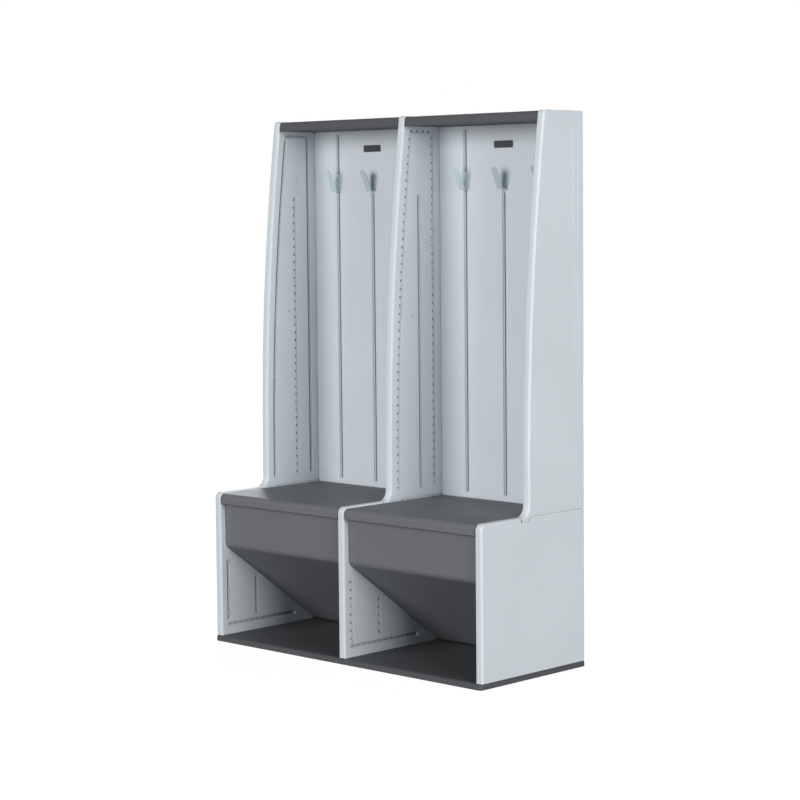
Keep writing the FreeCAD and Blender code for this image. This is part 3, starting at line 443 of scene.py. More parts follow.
class LOCKER_PG_channels(PropertyGroup):
    front_setback: FloatProperty(
        name="Front channel", description="Distance of an upper front channel behind the edge",
        default=0.036, unit="LENGTH",
    )
    front_foot: FloatProperty(
        name="Front foot", description="Height of an upper front channel's foot above the seam",
        default=0.030, unit="LENGTH",
    )
    front_drop: FloatProperty(
        name="Front drop", description="Distance of an upper front channel below the top",
        default=0.066, unit="LENGTH",
    )
    middle_inset: FloatProperty(
        name="Middle channel", description="Distance of the middle channel from the rear edge",
        default=0.127, unit="LENGTH",
    )
    middle_drop: FloatProperty(
        name="Middle drop", description="Distance of the middle channel below the top",
        default=0.259, unit="LENGTH",
    )
    rear_inset: FloatProperty(
        name="Rear channel", description="Distance of the rear channel from the rear edge",
        default=0.061, unit="LENGTH",
    )
    rear_rise: FloatProperty(
        name="Rear rise", description="Height of the rear channel's foot above the front one's",
        default=0.004, unit="LENGTH",
    )
    rear_turn: FloatProperty(
        name="Rear turn", description="Radius of the rear channel's turn into the top channel",
        default=0.0115, unit="LENGTH",
    )
    top_inset: FloatProperty(
        name="Top start", description="Distance of the top channel's start from the rear edge",
        default=0.163, unit="LENGTH",
    )
    top_drop: FloatProperty(
        name="Top channel", description="Distance of the top channel below the top",
        default=0.049, unit="LENGTH",
    )
    low_setback: FloatProperty(
        name="Low front channel", description="Distance of a lower front channel behind the edge",
        default=0.032, unit="LENGTH",
    )
    low_foot: FloatProperty(
        name="Low front foot", description="Height of a lower front channel's foot above the base",
        default=0.051, unit="LENGTH",
    )
    low_length: FloatProperty(
        name="Low front length", description="Length of a lower front channel",
        default=0.203, unit="LENGTH",
    )
    short_setback: FloatProperty(
        name="Short channel", description="Distance of the short channel behind the front edge",
        default=0.161, unit="LENGTH",
    )
    short_foot: FloatProperty(
        name="Short foot", description="Height of the short channel's foot above the base",
        default=0.0575, unit="LENGTH",
    )
    short_length: FloatProperty(
        name="Short length", description="Length of the short channel",
        default=0.125, unit="LENGTH",
    )
    bottom_rise: FloatProperty(
        name="Bottom channel", description="Height of the bottom channel above the base",
        default=0.035, unit="LENGTH",
    )
    bottom_inset: FloatProperty(
        name="Bottom end", description="Distance of the bottom channel's end from the rear edge",
        default=0.155, unit="LENGTH",
    )
    hook_pitch: FloatProperty(
        name="Back channels", description="Distance between the channels of a back panel",
        default=0.1685, unit="LENGTH",
    )
    back_foot: FloatProperty(
        name="Back foot", description="Height of a back channel's foot above the panel's foot",
        default=0.021, unit="LENGTH",
    )
    back_drop: FloatProperty(
        name="Back drop", description="Distance of an outer back channel below the locker's top",
        default=0.047, unit="LENGTH",
    )
    pocket_width: FloatProperty(
        name="Pocket width", description="Width of the pocket above a side's middle channel",
        default=0.043, unit="LENGTH",
    )
    pocket_height: FloatProperty(
        name="Pocket height", description="Height of the pocket above a side's middle channel",
        default=0.058, unit="LENGTH",
    )
    pocket_gap: FloatProperty(
        name="Pocket gap", description="Height of the pocket's foot above the middle channel",
        default=0.011, unit="LENGTH",
    )
    pocket_depth: FloatProperty(
        name="Pocket depth", description="Depth of the pocket below the panel's face",
        default=0.0042, unit="LENGTH",
    )
    hook_gap: FloatProperty(
        name="Hook gap", description="Distance of a middle back channel's top below its hook",
        default=0.010, unit="LENGTH",
    )
    crease_width: FloatProperty(
        name="Crease", description="Width of the crease along the floor of an upright's channel",
        default=0.0042, min=0.0005, unit="LENGTH",
    )
    back_crease_width: FloatProperty(
        name="Back crease", description="Width of the crease along a back panel's channel",
        default=0.0065, min=0.0005, unit="LENGTH",
    )
    bottom_crease_width: FloatProperty(
        name="Bottom crease", description="Width of the crease along the bottom channel",
        default=0.0056, min=0.0005, unit="LENGTH",
    )
    crease_start: FloatProperty(
        name="Crease start", description="Depth below the panel's face where a crease starts",
        default=0.0046, min=0.0, unit="LENGTH",
    )
    crease_end: FloatProperty(
        name="Crease end", description="Depth below the panel's face where a crease ends",
        default=0.0100, min=0.001, unit="LENGTH",
    )


class LOCKER_PG_tack_offs(PropertyGroup):
    pitch: FloatProperty(
        name="Pitch", description="Distance between two tack-offs along a channel",
        default=0.027, min=0.01, unit="LENGTH",
    )
    inset: FloatProperty(
        name="Inset", description="Distance of the first tack-off from a channel's end",
        default=0.009, min=0.0, unit="LENGTH",
    )
    mouth: FloatProperty(
        name="Mouth", description="Radius of a tack-off at its mouth",
        default=0.0039, min=0.001, unit="LENGTH",
    )
    floor: FloatProperty(
        name="Floor", description="Radius of a tack-off at its floor",
        default=0.0036, min=0.0005, unit="LENGTH",
    )
    start: FloatProperty(
        name="Start", description="Depth below the panel's face where a tack-off starts",
        default=0.0045, min=0.0, unit="LENGTH",
    )
    end: FloatProperty(
        name="End", description="Depth below the panel's face where a tack-off ends",
        default=0.0125, min=0.001, unit="LENGTH",
    )
    well_rise: FloatProperty(
        name="Well rise", description="Height of the round well in an upper front channel",
        default=0.056, min=0.0, unit="LENGTH",
    )
    well_mouth: FloatProperty(
        name="Well mouth", description="Radius of a round well at the panel's face",
        default=0.0085, min=0.001, unit="LENGTH",
    )
    well_floor: FloatProperty(
        name="Well floor", description="Radius of a round well at its floor",
        default=0.0070, min=0.001, unit="LENGTH",
    )
    well_depth: FloatProperty(
        name="Well depth", description="Depth of a round well below the panel's face",
        default=0.0062, min=0.001, unit="LENGTH",
    )


def evenly(start, end, pitch):
    """Numbers from start to end, spaced by about one pitch."""
    count = max(int(round(abs(end - start) / pitch)), 1)
    return [start + (end - start) * step / count for step in range(count + 1)]


def upper_channels(node, channels):
    """The middle lines of an upper upright's channels, as (y, z) points."""
    low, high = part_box(node)
    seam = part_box("lower_divider")[1].z
    surface = BVHTree.FromObject(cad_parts[node], bpy.context.evaluated_depsgraph_get())
    middle_x = (low.x + high.x) / 2
    front = []
    foot = seam + channels.front_foot
    for z in evenly(foot, high.z - channels.front_drop, EDGE_STEP):
        hit = surface.ray_cast(Vector((middle_x, low.y - 1, z)), Vector((0, 1, 0)))[0]
        front.append((hit.y + channels.front_setback, z))
    rear_y = high.y - channels.rear_inset
    top_z = high.z - channels.top_drop
    radius = channels.rear_turn
    rear = [(rear_y, foot + channels.rear_rise)]
    rear += [
        (rear_y + radius * (math.cos(turn) - 1), top_z + radius * (math.sin(turn) - 1))
        for turn in evenly(0, math.pi / 2, TURN_STEP)
    ]
    rear.append((high.y - channels.top_inset, top_z))
    middle_y = high.y - channels.middle_inset
    middle = [(middle_y, foot), (middle_y, high.z - channels.middle_drop)]
    return {"front": front, "middle": middle, "rear": rear}


def lower_channels(node, channels):
    """The middle lines of a lower upright's channels, as (y, z) points."""
    low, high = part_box(node)
    base_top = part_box("base_panel")[1].z
    front_y = low.y + channels.low_setback
    front_z = base_top + channels.low_foot
    short_y = low.y + channels.short_setback
    short_z = base_top + channels.short_foot
    bottom_z = base_top + channels.bottom_rise
    return {
        "front": [(front_y, front_z), (front_y, front_z + channels.low_length)],
        "bottom": [(front_y, bottom_z), (high.y - channels.bottom_inset, bottom_z)],
        "short": [(short_y, short_z), (short_y, short_z + channels.short_length)],
    }


def spaced_along(line, pitch, inset):
    """Points along a line of (across, up) points, spaced by about one pitch."""
    corners = [Vector(point) for point in line]
    runs = [(after - here).length for here, after in zip(corners, corners[1:])]
    points = []
    for distance in evenly(inset, sum(runs) - inset, pitch):
        number = 0
        while distance > runs[number] and number < len(runs) - 1:
            distance -= runs[number]
            number += 1
        points.append(corners[number].lerp(corners[number + 1], distance / runs[number]))
    return points


def cut_out(piece, shape):
    """Cuts a closed shape out of an object."""
    bmesh.ops.recalc_face_normals(shape, faces=shape.faces)
    cutter = from_bmesh("cutter", shape)
    cut = piece.modifiers.new("CutOut", "BOOLEAN")
    cut.operation = "DIFFERENCE"
    cut.solver = "EXACT"
    cut.object = cutter
    before = len(piece.data.polygons)
    settle(piece)
    bpy.data.objects.remove(cutter)
    if len(piece.data.polygons) < before / 2:
        raise RuntimeError("a cut in %s lost its faces" % piece.name)


def in_upright(face, y, z, depth):
    """The place at a depth below an upright's moulded face, given by its x and its sign."""
    face_x, outward = face
    return Vector((face_x - outward * depth, y, z))


def in_back(face_y, x, z, depth):
    """The place at a depth below the front face of a back panel."""
    return Vector((x, face_y + depth, z))


def crease(piece, line, into, width, depths):
    """Cuts a narrow crease along a line; into(across, up, depth) gives a place in the panel."""
    corners = [Vector(point) for point in line]
    shape = bmesh.new()
    rings = []
    for number, corner in enumerate(corners):
        before = corners[max(number - 1, 0)]
        after = corners[min(number + 1, len(corners) - 1)]
        ahead = (after - before).normalized() * (width / 2)
        beside = Vector((-ahead.y, ahead.x))
        rings.append([
            shape.verts.new(into(*(corner + beside * side), depth))
            for side, depth in ((1, depths[0]), (1, depths[1]), (-1, depths[1]), (-1, depths[0]))
        ])
    for ring, after in zip(rings, rings[1:]):
        for number in range(4):
            following = (number + 1) % 4
            shape.faces.new((ring[number], ring[following], after[following], after[number]))
    shape.faces.new(rings[0])
    shape.faces.new(rings[-1])
    cut_out(piece, shape)


def moulded_copy(node, moulding):
    """A copy of a panel with its long edges softened, ready to be cut."""
    piece = new_piece("moulded_" + node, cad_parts[node].data.copy())
    join_flats(piece)
    settle(piece)
    soften_long(piece, moulding.edge, moulding.long_edge)
    return piece


def finish_panel(node, material, moulding):
    """Softens the edges of a packed panel where it is, and gives it its material."""
    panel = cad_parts[node]
    join_flats(panel)
    soften(panel, moulding.edge)
    even_shading(panel)
    dress(panel, material)


def sink(piece, places, face, radii, depths, sides):
    """Cuts tapered round pits into one face of an upright, between two depths."""
    face_x, outward = face
    shape = bmesh.new()
    turn = Matrix.Rotation(math.radians(90) * outward, 4, "Y")
    middle_x = face_x - outward * (depths[0] + depths[1]) / 2
    for y, z in places:
        bmesh.ops.create_cone(
            shape, cap_ends=True, segments=sides, radius1=radii[1], radius2=radii[0],
            depth=depths[1] - depths[0], matrix=Matrix.Translation((middle_x, y, z)) @ turn,
        )
    cut_out(piece, shape)


def well_places(kind, lines, tacks):
    """The middles of an upright's round wells, as (y, z) points."""
    if kind.startswith("upper"):
        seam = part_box("lower_divider")[1].z
        return [(lines["front"][0][0], seam + tacks.well_rise)]
    wells = [lines["bottom"][-1]]
    if kind == "lower_divider":
        wells.append(lines["front"][0])
    return wells


def mould_face(piece, kind, lines, face, channels, tacks):
    """Cuts the wells, pocket, creases and tack-offs of one face of an upright."""
    into = partial(in_upright, face)
    sink(
        piece, well_places(kind, lines, tacks), face, (tacks.well_mouth, tacks.well_floor),
        (-CUTTER_LEAD, tacks.well_depth), WELL_SIDES,
    )
    if kind == "upper_side":
        pocket_y, channel_top = lines["middle"][-1]
        foot = channel_top + channels.pocket_gap
        crease(
            piece, [(pocket_y, foot), (pocket_y, foot + channels.pocket_height)], into,
            channels.pocket_width, (-CUTTER_LEAD, channels.pocket_depth),
        )
    for name in CREASED[kind]:
        width = channels.bottom_crease_width if name == "bottom" else channels.crease_width
        crease(piece, lines[name], into, width, (channels.crease_start, channels.crease_end))
    for name in TACKED[kind]:
        sink(
            piece, spaced_along(lines[name], tacks.pitch, tacks.inset), face,
            (tacks.mouth, tacks.floor), (tacks.start, tacks.end), TACK_SIDES,
        )


class LOCKER_OT_uprights(Operator):
    """Makes the six uprights, with softened rims, creased channels, wells and tack-offs"""
    bl_idname = "locker.uprights"
    bl_label = "Uprights"

    def execute(self, context):
        moulding = context.scene.locker_moulding
        channels = context.scene.locker_channels
        tacks = context.scene.locker_tack_offs
        light = moulded_polyethylene(
            "moulded_light_polyethylene", moulding.light_colour, moulding.light_sheen, moulding
        )
        for level, lines_of in (("upper", upper_channels), ("lower", lower_channels)):
            for words, outwards in UPRIGHT_FACES.items():
                node = "%s_%s" % (level, words)
                kind = "%s_%s" % (level, words.split("_")[0])
                low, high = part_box(node)
                lines = lines_of(node, channels)
                piece = moulded_copy(node, moulding)
                for outward in outwards:
                    face = (high.x if outward > 0 else low.x, outward)
                    mould_face(piece, kind, lines, face, channels, tacks)
                even_shading(piece)
                dress(piece, light)
                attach(piece, CARCASS)
                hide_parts(node)
        return {"FINISHED"}


class LOCKER_OT_backs(Operator):
    """Makes the upper back panels with creased channels, and softens the lower ones"""
    bl_idname = "locker.backs"
    bl_label = "Back panels"

    def execute(self, context):
        moulding = context.scene.locker_moulding
        channels = context.scene.locker_channels
        light = bpy.data.materials["moulded_light_polyethylene"]
        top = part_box("upper_divider")[1].z - channels.back_drop
        for bay in BAYS:
            node = "upper_back_" + bay
            low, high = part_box(node)
            middle = (low.x + high.x) / 2
            under_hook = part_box("coat_hook_%s_middle" % bay)[0].z - channels.hook_gap
            piece = moulded_copy(node, moulding)
            for side, end in ((-1, top), (0, under_hook), (1, top)):
                x = middle + side * channels.hook_pitch
                crease(
                    piece, [(x, low.z + channels.back_foot), (x, end)], partial(in_back, low.y),
                    channels.back_crease_width, (channels.crease_start, channels.crease_end),
                )
            even_shading(piece)
            dress(piece, light)
            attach(piece, CARCASS)
            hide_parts(node)
            finish_panel("lower_back_" + bay, light, moulding)
        return {"FINISHED"}


class LOCKER_OT_panels(Operator):
    """Gives the seats, bins, roofs and base their moulded finish and soft edges"""
    bl_idname = "locker.panels"
    bl_label = "Panels"

    def execute(self, context):
        moulding = context.scene.locker_moulding
        slate = moulded_polyethylene(
            "moulded_slate_polyethylene", moulding.slate_colour, moulding.dark_sheen, moulding
        )
        # The roofs and base get a darker copy of the slate plastic: painted shade for the less
        # light that falls on them.
        slate_with_painted_shade = moulded_polyethylene(
            "moulded_slate_polyethylene_painted_shade", moulding.slate_painted_shade_colour, moulding.dark_sheen, moulding
        )
        finishes = [(stem + bay, slate) for stem in SEAT_PANELS for bay in BAYS]
        finishes += [("roof_panel_" + bay, slate_with_painted_shade) for bay in BAYS]
        finishes.append(("base_panel", slate_with_painted_shade))
        for node, material in finishes:
            finish_panel(node, material, moulding)
        return {"FINISHED"}


# Coat hooks

class LOCKER_PG_hooks(PropertyGroup):
    zinc_colour: FloatVectorProperty(
        name="Zinc", description="Colour of the plated strap",
        subtype="COLOR", size=3, min=0, max=1, default=linear("D6E6EA"),
    )
    gauge: FloatProperty(
        name="Gauge", description="Thickness of the strap", default=0.003, unit="LENGTH",
    )
    reach: FloatProperty(
        name="Reach", description="How far the strap's foot stands out from the wall",
        default=0.018, unit="LENGTH",
    )
    plate_height: FloatProperty(
        name="Plate height", description="Height of the plate that is screwed to the wall",
        default=0.060, unit="LENGTH",
    )
    bend: FloatProperty(
        name="Bend", description="Radius of the strap's bends at its middle",
        default=0.004, unit="LENGTH",
    )
    edge: FloatProperty(
        name="Edge", description="Width of the tumbled edges of the strap",
        default=0.0006, unit="LENGTH",
    )


def rounded_line(corners, radius, steps=6):
    """A line through corners, each turned into an arc."""
    line = [corners[0]]
    for before, corner, after in zip(corners, corners[1:], corners[2:]):
        back = (before - corner).normalized()
        ahead = (after - corner).normalized()
        half = back.angle(ahead) / 2
        centre = corner + (back + ahead).normalized() * (radius / math.sin(half))
        start = corner + back * (radius / math.tan(half)) - centre
        end = corner + ahead * (radius / math.tan(half)) - centre
        line += [centre + start.slerp(end, step / steps) * radius for step in range(steps + 1)]
    line.append(corners[-1])
    return line


def strap(name, corners, width, gauge, bend):
    """A bent strap of sheet with round ends, along a line in the YZ plane."""
    line = rounded_line(corners, bend)
    # metres between two rows of faces, faces across the strap, and its part left at a tip
    spacing, across, tip = 0.0012, 8, 0.12
    half = width / 2
    spots, travelled = [], 0.0
    for here, after in zip(line, line[1:]):
        run = (after - here).length
        pieces = max(int(run / spacing), 1)
        for step in range(pieces):
            spots.append((here.lerp(after, step / pieces), travelled + run * step / pieces))
        travelled += run
    spots.append((line[-1], travelled))
    shape = bmesh.new()
    rows = []
    for place, along in spots:
        # the strap narrows over half its width at either end, which rounds it
        inset = min(along, travelled - along)
        short = max(half - inset, 0.0)
        reach = math.sqrt(max(half * half - short * short, (half * tip) ** 2))
        rows.append([
            shape.verts.new(Vector((reach * (2 * step / across - 1), 0, 0)) + place)
            for step in range(across + 1)
        ])
    for row, after in zip(rows, rows[1:]):
        for step in range(across):
            shape.faces.new((row[step], row[step + 1], after[step + 1], after[step]))
    bmesh.ops.recalc_face_normals(shape, faces=shape.faces)
    for face in shape.faces:
        face.smooth = True
    piece = from_bmesh(name, shape)
    sheet = piece.modifiers.new("Gauge", "SOLIDIFY")
    sheet.thickness = gauge
    sheet.offset = 0
    sheet.use_even_offset = True
    settle(piece)
    return piece


class LOCKER_OT_hooks(Operator):
    """Makes the six coat hooks, each a bent strap with round ends"""
    bl_idname = "locker.hooks"
    bl_label = "Coat hooks"

    def execute(self, context):
        hooks = context.scene.locker_hooks
        zinc = zinc_plate(
            "zinc_plated_strap", hooks.zinc_colour, metal=0.35, roughness=0.30, grain_width=0.004
        )
        for node in sorted(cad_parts):
            if not node.startswith("coat_hook_"):
                continue
            low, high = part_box(node)
            half = hooks.gauge / 2
            middle = (low.x + high.x) / 2
            corners = [
                Vector((middle, high.y - half, low.z + hooks.plate_height)),
                Vector((middle, high.y - half, low.z + half)),
                Vector((middle, high.y - hooks.reach, low.z + half)),
                Vector((middle, low.y + half, high.z - half)),
            ]
            piece = strap("strap_" + node[5:], corners, high.x - low.x, hooks.gauge, hooks.bend)
            soften(piece, hooks.edge, STRAP_EDGE)
            even_shading(piece)
            dress(piece, zinc)
            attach(piece, CARCASS)
            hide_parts(node)
        return {"FINISHED"}


# Screws and hinge pins

class LOCKER_PG_screws(PropertyGroup):
    steel_colour: FloatVectorProperty(
        name="Plated steel", description="Colour of the screws and pins",
        subtype="COLOR", size=3, min=0, max=1, default=linear("E2E6E8"),
    )
    head_radius: FloatProperty(
        name="Head radius", description="Radius of a pan head", default=0.0046, unit="LENGTH",
    )
    recess_reach: FloatProperty(
        name="Recess reach", description="Reach of one arm of the cross recess",
        default=0.0019, unit="LENGTH",
    )
    recess_width: FloatProperty(
        name="Recess width", description="Width of one arm of the cross recess",
        default=0.0009, unit="LENGTH",
    )
    sides: IntProperty(name="Sides", description="Sides of a head's circle", default=24, min=8)


def pan_head_screw(length, head_height, screws):
    """One screw along +Z, with its head's seat at z = 0, as a settled mesh."""
    radius = screws.head_radius
    shank = radius * SHANK
    profile = [(0.0, head_height)]
    profile += [(radius * across, head_height * up) for across, up in PAN_HEAD]
    profile += [(shank, 0.0), (shank, -length + shank * 2), (0.0, -length)]
    shape = bmesh.new()
    verts = [shape.verts.new((across, 0, up)) for across, up in profile]
    edges = [shape.edges.new(pair) for pair in zip(verts, verts[1:])]
    bmesh.ops.spin(
        shape, geom=verts + edges, cent=(0, 0, 0), axis=(0, 0, 1),
        angle=math.tau, steps=screws.sides, use_merge=True,
    )
    bmesh.ops.remove_doubles(shape, verts=shape.verts, dist=1e-7)
    bmesh.ops.recalc_face_normals(shape, faces=shape.faces)
    for face in shape.faces:
        face.smooth = True
    screw = from_bmesh("pan_head_screw", shape)
    recess = bmesh.new()
    depth = head_height * RECESS_DEPTH
    for turn in (0, math.pi / 2):
        matrix = Matrix.Translation((0, 0, head_height)) @ Matrix.Rotation(turn, 4, "Z")
        made = bmesh.ops.create_cube(recess, size=1.0, matrix=matrix @ Matrix.Diagonal(
            (screws.recess_reach * 2, screws.recess_width, depth * 2, 1)
        ))
        for vert in made["verts"]:
            if vert.co.z < head_height:
                vert.co.x *= RECESS_TAPER
                vert.co.y *= RECESS_TAPER
    cutter = from_bmesh("recess_cutter", recess)
    cut = screw.modifiers.new("Recess", "BOOLEAN")
    cut.operation = "DIFFERENCE"
    cut.solver = "EXACT"
    cut.use_self = True
    cut.object = cutter
    settle(screw)
    bpy.data.objects.remove(cutter)
    mesh = screw.data
    bpy.data.objects.remove(screw)
    return mesh


def turned_to(direction):
    """The rotation that takes +Z to a direction."""
    return Vector((0, 0, 1)).rotation_difference(direction).to_matrix().to_4x4()


class LOCKER_OT_screws(Operator):
    """Makes every screw with a pan head and a cross recess, and plates the hinge pins"""
    bl_idname = "locker.screws"
    bl_label = "Screws and pins"

    def execute(self, context):
        screws = context.scene.locker_screws
        steel = zinc_plate(
            "zinc_plated_screw_steel", screws.steel_colour, metal=0.85, roughness=0.28,
            grain_width=0.002,
        )
        for group, (direction, head) in SCREW_GROUPS.items():
            shape = bmesh.new()
            turn = turned_to(direction)
            axis = max(range(3), key=lambda number: abs(direction[number]))
            for number, (low, high) in enumerate(loose_boxes(group)):
                whole = high[axis] - low[axis]
                mesh = pan_head_screw(whole - head, head, screws)
                seat = (low + high) / 2
                top = high[axis] if direction[axis] > 0 else low[axis]
                seat[axis] = top - direction[axis] * head
                spin = Matrix.Rotation(math.radians(SCREW_TURN * number), 4, "Z")
                mesh.transform(Matrix.Translation(seat) @ turn @ spin)
                shape.from_mesh(mesh)
                bpy.data.meshes.remove(mesh)
            piece = from_bmesh("plated_" + group, shape)
            dress(piece, steel)
            piece.data.set_sharp_from_angle(angle=math.radians(SCREW_EDGE))
            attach(piece, CARCASS)
            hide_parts(group)
        for node in sorted(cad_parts):
            if node.startswith("lid_pin_"):
                dress(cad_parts[node], steel)
        return {"FINISHED"}


# Name plates, left bare

class LOCKER_PG_plates(PropertyGroup):
    field_colour: FloatVectorProperty(
        name="Field", description="Colour of the plate's field",
        subtype="COLOR", size=3, min=0, max=1, default=linear("3D4245"),
    )
    width: FloatProperty(
        name="Width", description="Width of a plate", default=0.080, unit="LENGTH",
    )
    height: FloatProperty(
        name="Height", description="Height of a plate", default=0.023, unit="LENGTH",
    )
    thickness: FloatProperty(
        name="Thickness", description="How far a plate stands off the wall",
        default=0.0022, unit="LENGTH",
    )
    corner: FloatProperty(
        name="Corner", description="Radius of a plate's corners", default=0.004, unit="LENGTH",
    )
    rim: FloatProperty(
        name="Rim", description="Width of the raised rim", default=0.0018, unit="LENGTH",
    )
    edge: FloatProperty(
        name="Edge", description="Width of a plate's softened edges", default=0.0003, unit="LENGTH",
    )
    drop: FloatProperty(
        name="Drop", description="Distance of a plate's middle below the top of the locker",
        default=0.0965, unit="LENGTH",
    )


def round_rectangle(width, height, corner, steps=5):
    """The corners of a rectangle with round corners, about the origin."""
    points = []
    for number, (side, level) in enumerate(((1, 1), (-1, 1), (-1, -1), (1, -1))):
        centre = Vector((side * (width / 2 - corner), level * (height / 2 - corner)))
        for step in range(steps + 1):
            turn = math.pi / 2 * (number + step / steps)
            points.append(centre + Vector((math.cos(turn), math.sin(turn))) * corner)
    return points


def bare_plate(name, middle, plates):
    """A bevelled plate with a raised rim round an empty field, facing -Y."""
    shape = bmesh.new()
    rows = []
    for across, up in PLATE_SECTION:
        inset = plates.rim * across
        rise = plates.thickness * up
        outline = round_rectangle(
            plates.width - inset * 2, plates.height - inset * 2, plates.corner - inset
        )
        rows.append([
            shape.verts.new(middle + Vector((point.x, -rise, point.y))) for point in outline
        ])
    count = len(rows[0])
    for row, after in zip(rows, rows[1:]):
        for number in range(count):
            following = (number + 1) % count
            shape.faces.new((row[number], row[following], after[following], after[number]))
    shape.faces.new(rows[-1])
    shape.faces.new(list(reversed(rows[0])))
    bmesh.ops.recalc_face_normals(shape, faces=shape.faces)
    return from_bmesh(name, shape)


class LOCKER_OT_plates(Operator):
    """Puts a small bare plate high on the back wall of each bay"""
    bl_idname = "locker.plates"
    bl_label = "Name plates"

    def execute(self, context):
        plates = context.scene.locker_plates
        moulding = context.scene.locker_moulding
        field = moulded_polyethylene(
            "moulded_dark_abs", plates.field_colour, moulding.light_sheen, moulding
        )
        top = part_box("upper_divider")[1].z
        for bay in BAYS:
            low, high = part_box("upper_back_" + bay)
            middle = Vector(((low.x + high.x) / 2, low.y, top - plates.drop))
            piece = bare_plate("bare_plate_" + bay, middle, plates)
            soften(piece, plates.edge)
            even_shading(piece)
            dress(piece, field)
            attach(piece, CARCASS)
        return {"FINISHED"}


# Stage

class LOCKER_PG_stage(PropertyGroup):
    camera_place: FloatVectorProperty(
        name="Camera", description="Where the camera stands", subtype="TRANSLATION", size=3,
        default=(5.1247, -5.2549, 1.4776),
    )
    camera_yaw: FloatProperty(
        name="Yaw", description="Turn of the view to the left of +Y",
        default=math.radians(44.085), subtype="ANGLE",
    )
    camera_pitch: FloatProperty(
        name="Pitch", description="Fall of the view below the level",
        default=math.radians(4.971), subtype="ANGLE",
    )
    camera_roll: FloatProperty(
        name="Roll", description="Tilt of the picture",
        default=math.radians(-0.552), subtype="ANGLE",
    )
    lens: FloatProperty(
        name="Lens", description="Focal length in millimetres on a 36 mm sensor",
        default=101.157, subtype="DISTANCE_CAMERA",
    )
    paper_tone: FloatProperty(
        name="Paper tone", description="Part of the lamps' light that the paper shows the eye",
        default=0.18, min=0.0, max=1.0,
    )
    paper_bounce: FloatProperty(
        name="Paper bounce", description="Part of the lamps' light that the paper throws back",
        default=0.05, min=0.0, max=1.0,
    )
    paper_glow: FloatProperty(
        name="Paper glow", description="White that the paper adds to what the eye sees",
        default=0.91, min=0.0, max=1.0,
    )
    ambient: FloatProperty(
        name="Ambient", description="Strength of the light from all round", default=0.015, min=0.0,
    )
    lamp_distance: FloatProperty(
        name="Lamp distance", description="Distance of the soft boxes from the locker's middle",
        default=12.0, min=2.0, unit="LENGTH",
    )
    lamp_width: FloatProperty(
        name="Lamp width", description="Width of each soft box", default=8.0, min=0.1,
        unit="LENGTH",
    )
    front_power: FloatProperty(
        name="Front power", description="Power of the soft box in front of the locker",
        default=1510.0, min=0.0, unit="POWER",
    )
    side_power: FloatProperty(
        name="Side power", description="Power of the soft box at the locker's right",
        default=1725.0, min=0.0, unit="POWER",
    )
    back_power: FloatProperty(
        name="Back power", description="Power of the soft box behind the locker",
        default=1300.0, min=0.0, unit="POWER",
    )


def soft_box(name, around, above, power, stage):
    """A square lamp aimed at the locker's middle; angles in degrees, around from -Y to +X."""
    lamp = bpy.data.lights.new(name, "AREA")
    lamp.shape = "SQUARE"
    lamp.size = stage.lamp_width
    lamp.energy = power
    holder = bpy.data.objects.new(name, lamp)
    bpy.context.scene.collection.objects.link(holder)
    turn = math.radians(around)
    rise = math.radians(above)
    away = Vector((
        math.sin(turn) * math.cos(rise), -math.cos(turn) * math.cos(rise), math.sin(rise)
    ))
    low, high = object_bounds()
    middle = (Vector(low) + Vector(high)) / 2
    aim = (-away).to_track_quat("-Z", "Y").to_matrix().to_4x4()
    holder.matrix_world = Matrix.Translation(middle + away * stage.lamp_distance) @ aim


def studio_world(strength):
    """Even soft light from all round, pure white where it is looked at."""
    world = bpy.data.worlds.new("white_studio")
    tree = new_tree(world)
    rays = add_node(tree, "ShaderNodeLightPath")
    level = add_node(
        tree, "ShaderNodeMapRange", {"To Min": strength, "To Max": 1.0},
        {"Value": (rays, "Is Camera Ray")},
    )
    white = add_node(tree, "ShaderNodeBackground", links={"Strength": (level, "Result")})
    white.inputs["Color"].default_value = (1, 1, 1, 1)
    add_node(tree, "ShaderNodeOutputWorld", links={"Surface": (white, "Background")})
    return world


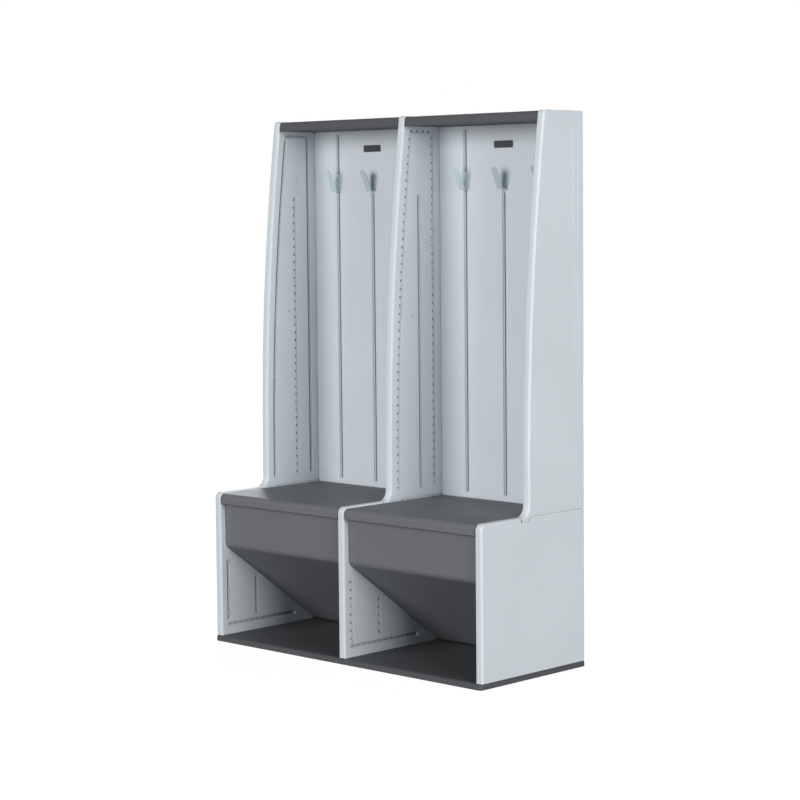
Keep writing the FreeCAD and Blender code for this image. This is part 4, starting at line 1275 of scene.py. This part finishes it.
class LOCKER_OT_stage(Operator):
    """Sets the floor, the soft studio light and the camera"""
    bl_idname = "locker.stage"
    bl_label = "Stage"

    def execute(self, context):
        stage = context.scene.locker_stage
        shape = bmesh.new()
        bmesh.ops.create_grid(shape, x_segments=8, y_segments=8, size=20.0)
        floor = from_bmesh("studio_floor", shape)
        dress(floor, studio_paper(stage))
        floor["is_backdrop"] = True
        context.scene.world = studio_world(stage.ambient)
        powers = {
            "front": stage.front_power, "side": stage.side_power, "back": stage.back_power,
        }
        for name, (around, above) in SOFT_BOXES.items():
            soft_box(name + "_soft_box", around, above, powers[name], stage)
        camera = bpy.data.cameras.new("photo_camera")
        camera.sensor_fit = "HORIZONTAL"
        camera.sensor_width = 36.0
        camera.lens = stage.lens
        camera.clip_end = 100.0
        holder = bpy.data.objects.new("photo_camera", camera)
        context.scene.collection.objects.link(holder)
        yaw, pitch, roll = stage.camera_yaw, stage.camera_pitch, stage.camera_roll
        ahead = Vector((
            -math.sin(yaw) * math.cos(pitch), math.cos(yaw) * math.cos(pitch), -math.sin(pitch)
        ))
        level = Vector((math.cos(yaw), math.sin(yaw), 0))
        upright = level.cross(ahead)
        right = level * math.cos(roll) + upright * math.sin(roll)
        up = upright * math.cos(roll) - level * math.sin(roll)
        turn = Matrix((right, up, -ahead)).transposed().to_4x4()
        holder.matrix_world = Matrix.Translation(stage.camera_place) @ turn
        context.scene.camera = holder
        context.scene.view_settings.view_transform = "Standard"
        return {"FINISHED"}


# Sidebar and registration

GROUPS = {
    "locker_moulding": LOCKER_PG_moulding,
    "locker_channels": LOCKER_PG_channels,
    "locker_tack_offs": LOCKER_PG_tack_offs,
    "locker_hooks": LOCKER_PG_hooks,
    "locker_screws": LOCKER_PG_screws,
    "locker_plates": LOCKER_PG_plates,
    "locker_stage": LOCKER_PG_stage,
}
OPERATORS = (
    LOCKER_OT_uprights,
    LOCKER_OT_backs,
    LOCKER_OT_panels,
    LOCKER_OT_hooks,
    LOCKER_OT_screws,
    LOCKER_OT_plates,
    LOCKER_OT_stage,
)


class LOCKER_PT_sidebar(Panel):
    """Lists the steps that dress the locker, and their sizes and colours"""
    bl_idname = "LOCKER_PT_sidebar"
    bl_label = "Storage Locker"
    bl_space_type = "VIEW_3D"
    bl_region_type = "UI"
    bl_category = "Locker"

    def draw(self, context):
        for operator in OPERATORS:
            self.layout.operator(operator.bl_idname)
        for name, group in GROUPS.items():
            box = self.layout.box()
            box.label(text=name.replace("locker_", "").replace("_", " ").title())
            for setting in group.__annotations__:
                box.prop(getattr(context.scene, name), setting)


def register():
    for group in GROUPS.values():
        bpy.utils.register_class(group)
    for name, group in GROUPS.items():
        setattr(bpy.types.Scene, name, PointerProperty(type=group))
    for operator in OPERATORS:
        bpy.utils.register_class(operator)
    bpy.utils.register_class(LOCKER_PT_sidebar)


def unregister():
    bpy.utils.unregister_class(LOCKER_PT_sidebar)
    for operator in reversed(OPERATORS):
        bpy.utils.unregister_class(operator)
    for name in GROUPS:
        delattr(bpy.types.Scene, name)
    for group in reversed(GROUPS.values()):
        bpy.utils.unregister_class(group)


def main():
    """Dresses the locker and sets the stage."""
    register()
    bpy.ops.locker.uprights()
    bpy.ops.locker.backs()
    bpy.ops.locker.panels()
    bpy.ops.locker.hooks()
    bpy.ops.locker.screws()
    bpy.ops.locker.plates()
    bpy.ops.locker.stage()


if __name__ == "__main__":
    main()
